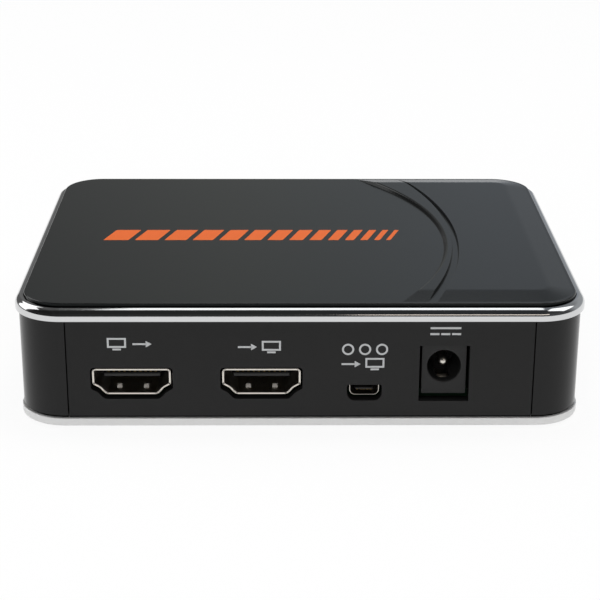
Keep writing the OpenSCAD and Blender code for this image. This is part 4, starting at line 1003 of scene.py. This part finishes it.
def video_tongue(name, node, shell_node):
    low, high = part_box(node)
    shell_low, shell_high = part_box(shell_node)
    inside = -VIDEO_WALL - 2 * TINY
    block = punch(
        video_face("block", shell_node, shell_low.y + TONGUE_BLOCK, inside, inside),
        VIDEO_DEPTH - TONGUE_BLOCK,
    )
    rear_block = add_block("rear_block", (low.x, shell_low.y + VIDEO_DEPTH, low.z), high)
    tongue = flat_tongue(
        name, middle_x(node), shell_high.z - VIDEO_H + TONGUE_Z, TONGUE_W, TONGUE_T,
        shell_low.y + TONGUE_FRONT, shell_low.y + TONGUE_BLOCK + MM, TONGUE_ROUND,
    )
    hand_over(join_pieces(tongue, block, rear_block), "socket_black", [node])


video_tongue("output_tongue", "hdmi_output_insulator", "hdmi_output_shell")
video_tongue("input_tongue", "hdmi_input_insulator", "hdmi_input_shell")

# %% [markdown]
# ## The small component socket
#
# A tiny socket of the same kind: a flat shell whose lower corners are well rounded, set back behind the
# panel. A plain face with two bevel sizes is all it needs. Its tongue is rounded in front like the others.

# %% Component socket
COMPONENT_H = 2.4 * MM
COMPONENT_ROUND = 1.15 * MM
COMPONENT_TOP_ROUND = 0.35 * MM
COMPONENT_WALL = 0.22 * MM
COMPONENT_DEPTH = 7 * MM
component_low, component_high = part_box("component_socket_shell")
component_x = middle_x("component_socket_shell")


def component_face(name, y, grow=0.0, above=0.0, drop=0.0):
    bottom = component_high.z - COMPONENT_H - grow - drop
    top_z = component_high.z + above
    width = component_high.x - component_low.x + 2 * grow
    face = add_upright_face(name, (component_x, y, (bottom + top_z) / 2), width, top_z - bottom)
    with editing(face):
        choose_points(face, lambda p: p.z < bottom + TINY)
        bevel_corners(COMPONENT_ROUND + grow, 8)
        choose_points(face, lambda p: p.z > top_z - TINY)
        bevel_corners(COMPONENT_TOP_ROUND, 4)
    return face


component = fold_shell(component_face("component_shell", component_low.y), COMPONENT_WALL, COMPONENT_DEPTH)
component_legs = shell_legs(
    component_low, component_high, COMPONENT_WALL, component_high.z - 2 * COMPONENT_WALL,
    [component_low.y + COMPONENT_DEPTH - MM],
)
hand_over(join_pieces(component, *component_legs), "nickel", ["component_socket_shell"])

# %% Tongue of the component socket
SMALL_TONGUE_W = 3.5 * MM
SMALL_TONGUE_T = 0.5 * MM
SMALL_TONGUE_FRONT = 0.4 * MM
SMALL_TONGUE_ROUND = 0.2 * MM
SMALL_BLOCK = 4 * MM
SMALL_INSIDE = -0.3 * MM
small_block_y = component_low.y + SMALL_BLOCK
small_block = punch(
    component_face("block", small_block_y, SMALL_INSIDE, SMALL_INSIDE), COMPONENT_DEPTH - SMALL_BLOCK
)
small_tongue = flat_tongue(
    "component_tongue", component_x, component_high.z - COMPONENT_H / 2, SMALL_TONGUE_W, SMALL_TONGUE_T,
    component_low.y + SMALL_TONGUE_FRONT, small_block_y + TINY, SMALL_TONGUE_ROUND,
)
hand_over(join_pieces(small_tongue, small_block), "socket_black", ["component_socket_insulator"])

# %% [markdown]
# ## The connector panel
#
# A flat matt panel slides in between the seams. Its openings follow the sockets with a little room, and
# more room below. They could be drawn as a grid of faces, but cutting is closer to the real tool: each
# opening's outline is extruded to a punch, and a boolean modifier takes it out of the plate. A small bevel
# on every edge afterwards makes the seams and openings catch a thin line of light.

# %% Connector panel with its openings
PANEL = 2 * MM
PANEL_GAP = 0.2 * MM
VIDEO_GAP, VIDEO_TOP_GAP, VIDEO_DROP = 0.35 * MM, 0.15 * MM, 0.6 * MM
COMPONENT_GAP, COMPONENT_TOP_GAP, COMPONENT_DROP = 0.45 * MM, 0.1 * MM, 0.3 * MM
JACK_GAP, JACK_TOP_GAP, JACK_DROP = 0.5 * MM, 0.3 * MM, 0.85 * MM
JACK_H = 10.2 * MM
HOLD_GAP = 0.2 * MM
HOLD_ROOT = 2 * MM
HOLD_INSET = 2.8 * MM
HOLD_SHORT = 0.4 * MM
PUNCH = 4 * MM


def panel_slab(name, half, outer_y, depths, heights):
    """A block across the panel, between two depths behind its face and two heights."""
    ends = [outer_y - depth if outer_y > 0 else outer_y + depth for depth in depths]
    return add_block(name, (-half, min(ends), heights[0]), (half, max(ends), heights[1]))


def panel_blank(name, low, high, outer_y):
    """A flat plate with a lip below and a strip at each end that slides behind the round corners."""
    half = SEAM_X - PANEL_GAP
    plate = panel_slab(name, half, outer_y, (0, PANEL), (low.z + GROOVE, high.z))
    lip = panel_slab("panel_lip", half, outer_y, (GROOVE, PANEL), (low.z, low.z + 2 * GROOVE))
    combine(plate, lip, "UNION")
    for part, reach, depths in (
        ("hold_root", half, (PANEL / 2, high.y - low.y)),
        ("hold", high.x, (PANEL + HOLD_GAP, high.y - low.y)),
    ):
        strip = panel_slab(part, reach, outer_y, depths, (low.z + HOLD_INSET, high.z - HOLD_SHORT))
        combine(strip, panel_slab("middle", half - HOLD_ROOT, outer_y, (0, 2 * PANEL), (0, 2 * high.z)))
        combine(plate, strip, "UNION")
    return plate


jack_low, jack_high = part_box("dc_jack_housing")
punch_y = rear_low.y - MM
rear = panel_blank("connector_panel", rear_low, rear_high, rear_low.y)
for node in ("hdmi_output_shell", "hdmi_input_shell"):
    for drop in (0, VIDEO_DROP):
        combine(rear, punch(video_face("punch", node, punch_y, VIDEO_GAP, VIDEO_TOP_GAP, drop), PUNCH))
component_hole = component_face("punch", punch_y, COMPONENT_GAP, COMPONENT_TOP_GAP, COMPONENT_DROP)
combine(rear, punch(component_hole, PUNCH))
jack_hole = add_block(
    "punch", (jack_low.x - JACK_GAP, punch_y, jack_low.z - JACK_DROP),
    (jack_high.x + JACK_GAP, punch_y + PUNCH, jack_low.z + JACK_H + JACK_TOP_GAP),
)
combine(rear, jack_hole)
soften_edges(rear, 0.1 * MM, 3, sharper_than=50)
hand_over(rear, "panel_matt", ["rear_panel"])

# %% [markdown]
# ## The power jack
#
# The jack is a moulded block with a deep round hole, a pin in the middle and a spring at the bottom. It
# sits a little behind the panel. The block and its round tail are joined, the hole and the spring's slot
# are cut, and the pin gets a round tip by a wide bevel, which shows as the small bright point in the hole.

# %% Power jack
pin_low, pin_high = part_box("dc_jack_pin")
JACK_BLOCK = 3.3 * MM
JACK_LIFT = 0.3 * MM
JACK_AXIS_Z = jack_low.z + 6 * MM
JACK_HOLE = 3.15 * MM
JACK_DEPTH = 9.5 * MM
JACK_TAIL = 4 * MM
PIN = 1 * MM
SLOT_HALF = 1.3 * MM
SLOT_START = 2 * MM
jack_x = middle_x("dc_jack_housing")
jack_axis = Vector((jack_x, jack_low.y, JACK_AXIS_Z))
along_y = Vector((0, 1, 0))


def near_rim(rim, radius, y):
    """A test for the edges of a round hole's rim."""
    return lambda middle, along: abs(middle.y - y) < TINY and (middle - rim).length < radius + TINY


jack = add_block(
    "power_jack", (jack_low.x, jack_low.y, jack_low.z + JACK_LIFT),
    (jack_high.x, jack_low.y + JACK_BLOCK, jack_low.z + JACK_H),
)
soften_edges(jack, 0.15 * MM)
tail_end = jack_axis + along_y * (jack_high.y - jack_low.y)
tail = add_rod("jack_tail", JACK_TAIL, jack_axis + along_y * MM, tail_end)
tail_foot = add_block(
    "jack_foot", (jack_x - JACK_TAIL, jack_low.y + JACK_BLOCK / 2, jack_low.z),
    (jack_x + JACK_TAIL, jack_high.y - TINY, JACK_AXIS_Z),
)
combine(tail, tail_foot, "UNION")
combine(jack, tail, "UNION")
hole_end = jack_axis + along_y * JACK_DEPTH
combine(jack, add_rod("jack_hole", JACK_HOLE, jack_axis - along_y * MM, hole_end, 128))
bevel_where(jack, near_rim(jack_axis, JACK_HOLE, jack_low.y), 0.3 * MM, 3)
spring_slot = add_block(
    "spring_slot", (jack_x - SLOT_HALF, jack_low.y + SLOT_START, jack_low.z - MM),
    (jack_x + SLOT_HALF, jack_low.y + JACK_DEPTH, JACK_AXIS_Z - JACK_HOLE / 2),
)
combine(jack, spring_slot)
hand_over(jack, "jack_black", ["dc_jack_housing"])

# %% [markdown]
# ### Pin, terminals and spring of the jack
#
# The pin's tail ends in a flat solder lug. The spring that touches the plug is a bent strip: one upright
# face is drawn, its upper edge is extruded from bend to bend, the bends are beveled, and a solidify
# modifier gives the strip its thickness. Bending a finished bar would be harder to keep even.

# %% Pin and spring
LUG_W = 2.4 * MM
LUG_T = 0.5 * MM
SPRING_T = 0.3 * MM
spring_low, spring_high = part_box("dc_jack_spring")

pin_tip = Vector((jack_x, pin_low.y, JACK_AXIS_Z))
pin = add_rod("jack_pin", PIN, pin_tip, (jack_x, pin_high.y - LUG_T, JACK_AXIS_Z), 48)
bevel_where(pin, lambda middle, along: middle.y < pin_low.y + TINY, 0.94 * PIN, 10)
lug = add_block(
    "pin_lug", (jack_x - LUG_W / 2, pin_high.y - LUG_T, pin_low.z),
    (jack_x + LUG_W / 2, pin_high.y, pin_high.z),
)
bevel_where(lug, lambda middle, along: abs(along.y) > 0.9 and middle.z > JACK_AXIS_Z, PIN, 6)
with editing(lug):
    choose_faces(lug, facing("z", -1))
    bpy.ops.transform.resize(value=(0.7, 1, 1), center_override=(jack_x, pin_high.y, pin_low.z))
hand_over(join_pieces(pin, lug), "nickel", ["dc_jack_pin"])

bend_z = jack_low.z + 1.55 * MM
hump_z = spring_high.z - SPRING_T / 2
strip_y = spring_high.y - SPRING_T / 2
hump_y = spring_low.y + 1.4 * MM
SPRING_BENDS = ((strip_y - 2 * MM, bend_z), (hump_y, hump_z), (spring_low.y, hump_z - 0.9 * MM))
spring = add_upright_face(
    "jack_spring", (jack_x, strip_y, (spring_low.z + bend_z) / 2), spring_high.x - spring_low.x,
    bend_z - spring_low.z,
)
with editing(spring):
    choose_edges(spring, lambda middle, along: middle.z > bend_z - TINY)
    place = Vector((0, strip_y, bend_z))
    for y, z in SPRING_BENDS:
        step = Vector((0, y, z)) - place
        extrude(*step)
        place = place + step
bevel_where(
    spring, lambda m, a: abs(a.x) > 0.9 and m.z > bend_z - TINY and m.y > spring_low.y + TINY, 0.5 * MM, 4
)
apply_modifier(spring, "SOLIDIFY", thickness=SPRING_T, offset=0)
soften_edges(spring, 0.05 * MM, 2, 50)
hand_over(spring, "nickel", ["dc_jack_spring"])

# %% [markdown]
# ## The front side
#
# The front has a USB socket for a memory stick, a jack for a microphone, the red record button and a
# small light. Its panel is cut the same way as the connector panel.

# %% USB socket shell
USB_H = 5.8 * MM
USB_ROUND = 0.5 * MM
USB_WALL = 0.35 * MM
USB_DEPTH = 14 * MM
USB_LATCH_X = 3 * MM
USB_LATCH_Y = 4.5 * MM
USB_LEGS = (6.1 * MM, 12 * MM)
usb_low, usb_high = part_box("usb_socket_shell")
usb_x = middle_x("usb_socket_shell")


def usb_face(name, y, grow=0.0):
    middle = (usb_x, y, usb_high.z - USB_H / 2)
    face = add_upright_face(name, middle, usb_high.x - usb_low.x + 2 * grow, USB_H + 2 * grow)
    with editing(face):
        select_all()
        bevel_corners(USB_ROUND + grow, 5)
    return face


usb = fold_shell(usb_face("usb_shell", usb_high.y), USB_WALL, -USB_DEPTH)
usb_floor = usb_high.z - USB_H + USB_WALL
usb_springs = latch_springs("usb_spring", usb_x, USB_LATCH_X, usb_high.y - USB_LATCH_Y, usb_floor)
leg_places = [usb_high.y - depth for depth in USB_LEGS]
usb_legs = shell_legs(usb_low, usb_high, USB_WALL, usb_floor + USB_H / 2, leg_places)
hand_over(join_pieces(usb, *usb_springs, *usb_legs), "nickel", ["usb_socket_shell"])

# %% [markdown]
# ### Microphone jack
#
# A moulded block with a round nose that fills the panel's hole. Block and nose are joined, the bore is
# cut, and the edges that a plug meets are beveled.

# %% Microphone jack
MIC_NOSE = 2.6 * MM
MIC_BORE = 1.8 * MM
MIC_BORE_DEPTH = 12 * MM
MIC_NOSE_LENGTH = 2.2 * MM
mic_low, mic_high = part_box("mic_jack_body")
mic_front = Vector((middle_x("mic_jack_body"), mic_high.y, mic_low.z + 2.7 * MM))
mic = add_block("mic_jack", mic_low, (mic_high.x, mic_high.y - MIC_NOSE_LENGTH, mic_high.z))
soften_edges(mic, 0.2 * MM)
nose = add_rod("mic_nose", MIC_NOSE, mic_front - along_y * 3 * MM, mic_front)
bevel_where(nose, lambda middle, along: middle.y > mic_high.y - TINY, 0.2 * MM, 3)
combine(mic, nose, "UNION")
bore_end = mic_front - along_y * MIC_BORE_DEPTH
combine(mic, add_rod("mic_bore", MIC_BORE, bore_end, mic_front + along_y * MM))
bevel_where(mic, near_rim(mic_front, MIC_BORE, mic_high.y), 0.25 * MM, 3)
hand_over(mic, "socket_black", ["mic_jack_body"])

# %% [markdown]
# ### Record button
#
# A turned shape: a dished cap, a flange that keeps it from falling out, and a boss that grips the switch.
# It could be a profile spun round its axis. Here it grows from one disc, the flange: inset and extrude to
# the front make the cap, the same to the back make the boss, and small insets, each pushed in a little
# less, make the dish for the fingertip.

# %% Record button
CAP = 3.7 * MM
FLANGE = 4.7 * MM
FLANGE_T = 0.8 * MM
BOSS = 2.6 * MM
STEM_BORE = 1.73 * MM
STEM_GRIP = 1.6 * MM
CAP_ROUND = 0.35 * MM
DISH = 0.25 * MM
DISH_RINGS = 8
button_low, button_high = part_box("record_button")
button_middle = (button_low + button_high) / 2
front_low, front_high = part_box("front_panel")
flange_front = front_high.y - 2.3 * MM


def inset_and_extrude(inset, length):
    """Shrinks the selected face by the inset, then draws it out along Y."""
    bpy.ops.mesh.inset(thickness=inset)
    extrude(y=length)


def add_flange(name, radius, middle, front, thick, sides):
    """A disc across Y, whose front face is at front."""
    return add_rod(name, radius, (middle.x, front - thick, middle.z), (middle.x, front, middle.z), sides)


button = add_flange("record_cap", FLANGE, button_middle, flange_front, FLANGE_T, 96)
with editing(button):
    choose_faces(button, facing("y", 1))
    inset_and_extrude(FLANGE - CAP, button_high.y - flange_front)
    choose_faces(button, facing("y", -1))
    inset_and_extrude(FLANGE - BOSS, button_low.y - (flange_front - FLANGE_T))
    inset_and_extrude(BOSS - STEM_BORE, STEM_GRIP)
    choose_edges(button, lambda middle, along: middle.y > button_high.y - TINY)
    bpy.ops.mesh.bevel(offset=CAP_ROUND, segments=4)
    choose_faces(button, lambda m, n: n.y > 0.9 and m.y > button_high.y - TINY)
    ring = (CAP - CAP_ROUND) / (DISH_RINGS + 1)
    for step in range(DISH_RINGS):
        bpy.ops.mesh.inset(thickness=ring)
        slope = 1 - (step + 0.5) / DISH_RINGS
        bpy.ops.transform.translate(value=(0, -2 * DISH * slope / DISH_RINGS, 0))
soften_edges(button, 0.08 * MM, 2, 60)
hand_over(button, "button_red", ["record_button"], body="button")

# %% [markdown]
# ### Light pipe
#
# A clear rod that carries the status light through the panel, with a flange behind it. It grows from the
# flange in the same way, and its front edge is rounded.

# %% Light pipe
PIPE = 1.3 * MM
PIPE_FLANGE_T = 0.8 * MM
pipe_low, pipe_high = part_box("status_light_pipe")
pipe_radius = (pipe_high.x - pipe_low.x) / 2
pipe_middle = (pipe_low + pipe_high) / 2
pipe_flange_y = front_high.y - PANEL
pipe = add_flange("light_pipe", pipe_radius, pipe_middle, pipe_flange_y, PIPE_FLANGE_T, 64)
with editing(pipe):
    choose_faces(pipe, facing("y", 1))
    inset_and_extrude(pipe_radius - PIPE, pipe_high.y - pipe_flange_y)
    choose_faces(pipe, facing("y", -1))
    inset_and_extrude(pipe_radius - PIPE, pipe_low.y - (pipe_flange_y - PIPE_FLANGE_T))
    choose_edges(pipe, lambda middle, along: middle.y > pipe_high.y - TINY)
    bpy.ops.mesh.bevel(offset=0.3 * MM, segments=4)
hand_over(pipe, "clear_pipe", ["status_light_pipe"])

# %% [markdown]
# ### Front panel
#
# The same blank as behind, with one shaped and three round openings.

# %% Front panel with its openings
USB_GAP = 0.4 * MM
MIC_GAP = 0.25 * MM
BUTTON_GAP = 0.3 * MM
PIPE_GAP = 0.1 * MM
front = panel_blank("front_panel_plate", front_low, front_high, front_high.y)
punch_y = front_high.y + MM
combine(front, punch(usb_face("punch", punch_y, USB_GAP), -PUNCH))
for middle, radius in (
    (mic_front, MIC_NOSE + MIC_GAP), (button_middle, CAP + BUTTON_GAP), (pipe_middle, PIPE + PIPE_GAP),
):
    start, end = ((middle.x, y, middle.z) for y in (punch_y, punch_y - PUNCH))
    combine(front, add_rod("punch", radius, start, end))
soften_edges(front, 0.14 * MM, 3, sharper_than=50)
hand_over(front, "panel_matt", ["front_panel"])

# %% [markdown]
# ## Print
#
# Ink lies on a surface as a very thin layer. It could be a pattern in the material, but real edges stay
# sharp at any distance, so each mark is a flat face that a solidify modifier makes a few hundredths of a
# millimetre thick, half sunk into what carries it. On the inlay there is a row of orange slanted bars
# that grow narrower to the right. Over the sockets there are pale signs: a screen with an arrow out of it
# or into it, three rings for the three component plugs, and the sign for direct current.

# %% Inks
INK = 0.04 * MM
ORANGE_INK = make_finish(
    "orange_ink", (0.75, 0.14, 0.025), (0.6, 0.12, 0.03), 0.45, grain=5000, bump=0.1, shader=LOW_GLARE
)
PALE_INK = make_finish("pale_ink", (0.5, 0.51, 0.52), grey(0.46), 0.5, grain=5000, bump=0.1)


def lay_ink(marks, finish):
    """Joins flat marks to one print, gives it the thickness of ink and hands it over."""
    ink = join_pieces(*marks)
    apply_modifier(ink, "SOLIDIFY", thickness=INK, offset=0)
    hand_over(ink, None, finish=finish)


# %% Orange bars
BAR_COUNT = 14
BAR_FIRST_X = -40.6 * MM
BAR_GAP = 1.3 * MM
BAR_WIDE = 5.2 * MM
BAR_NARROW = 0.9 * MM
BAR_Y = (-3.9 * MM, 2.7 * MM)
BAR_SLANT = 2.2 * MM
BAR_ROUND = 0.25 * MM


def slanted_bar(x, width):
    """A flat bar on the inlay's low half; its far edge is pushed to the right."""
    middle = (x + width / 2, sum(BAR_Y) / 2, plate_z)
    bar = add_piece(
        "orange_bars", bpy.ops.mesh.primitive_plane_add, (width, BAR_Y[1] - BAR_Y[0], 1),
        size=1, location=middle,
    )
    with editing(bar):
        choose_points(bar, lambda p: p.y > middle[1])
        bpy.ops.transform.translate(value=(BAR_SLANT, 0, 0))
        select_all()
        bevel_corners(BAR_ROUND, 3)
    return bar


bars = []
bar_x = BAR_FIRST_X
for number in range(BAR_COUNT):
    width = BAR_WIDE + (BAR_NARROW - BAR_WIDE) * number / (BAR_COUNT - 1)
    bars.append(slanted_bar(bar_x, width))
    bar_x += width + BAR_GAP
lay_ink(bars, ORANGE_INK)

# %% Signs for the sockets
STROKE = 0.36 * MM
face_y = rear_low.y


def stroke(x, z, width, height):
    return add_upright_face("socket_signs", (x, face_y, z), width, height)


def round_mark(x, z, radius, points=48):
    """An upright disc, or with three points an arrow head that points to +X."""
    return add_piece(
        "socket_signs", bpy.ops.mesh.primitive_circle_add, vertices=points, radius=radius,
        fill_type="NGON", location=(x, face_y, z), rotation=(pi / 2, pi / 2, 0),
    )


def screen(x, z):
    """A small screen on its foot."""
    border = keep_border(stroke(x, z + 0.25 * MM, 3.6 * MM, 2 * MM), STROKE)
    return [border, stroke(x, z - 1.07 * MM, 1.6 * MM, STROKE)]


def arrow(x, z, length=2.6 * MM):
    """An arrow that points to +X, from x on."""
    head = 0.75 * MM
    shaft = stroke(x + length / 2, z, length, STROKE)
    return [shaft, round_mark(x + length + head / 3, z, head, points=3)]


output_x, input_x = middle_x("hdmi_output_shell"), middle_x("hdmi_input_shell")
OUTPUT_Z, INPUT_Z, COMPONENT_Z, POWER_Z = 17.4 * MM, 16.8 * MM, 16.3 * MM, 20 * MM
COMPONENT_LOW_Z = 13.3 * MM
RING = 1.15 * MM
RING_PITCH = 3.2 * MM
DASH = 1.7 * MM
signs = [
    *screen(output_x - 2.6 * MM, OUTPUT_Z), *arrow(output_x + 0.4 * MM, OUTPUT_Z),
    *arrow(input_x - 4.4 * MM, INPUT_Z), *screen(input_x + 1.9 * MM, INPUT_Z),
    *arrow(component_x - 4.4 * MM, COMPONENT_LOW_Z), *screen(component_x + 1.9 * MM, COMPONENT_LOW_Z),
    stroke(jack_x, POWER_Z + 0.6 * MM, 3.4 * DASH, 1.1 * STROKE),
]
for place in (-1, 0, 1):
    signs.append(keep_border(round_mark(component_x + place * RING_PITCH, COMPONENT_Z, RING), STROKE))
    signs.append(stroke(jack_x + place * 1.2 * DASH, POWER_Z - 0.6 * MM, DASH, 1.1 * STROKE))
lay_ink(signs, PALE_INK)
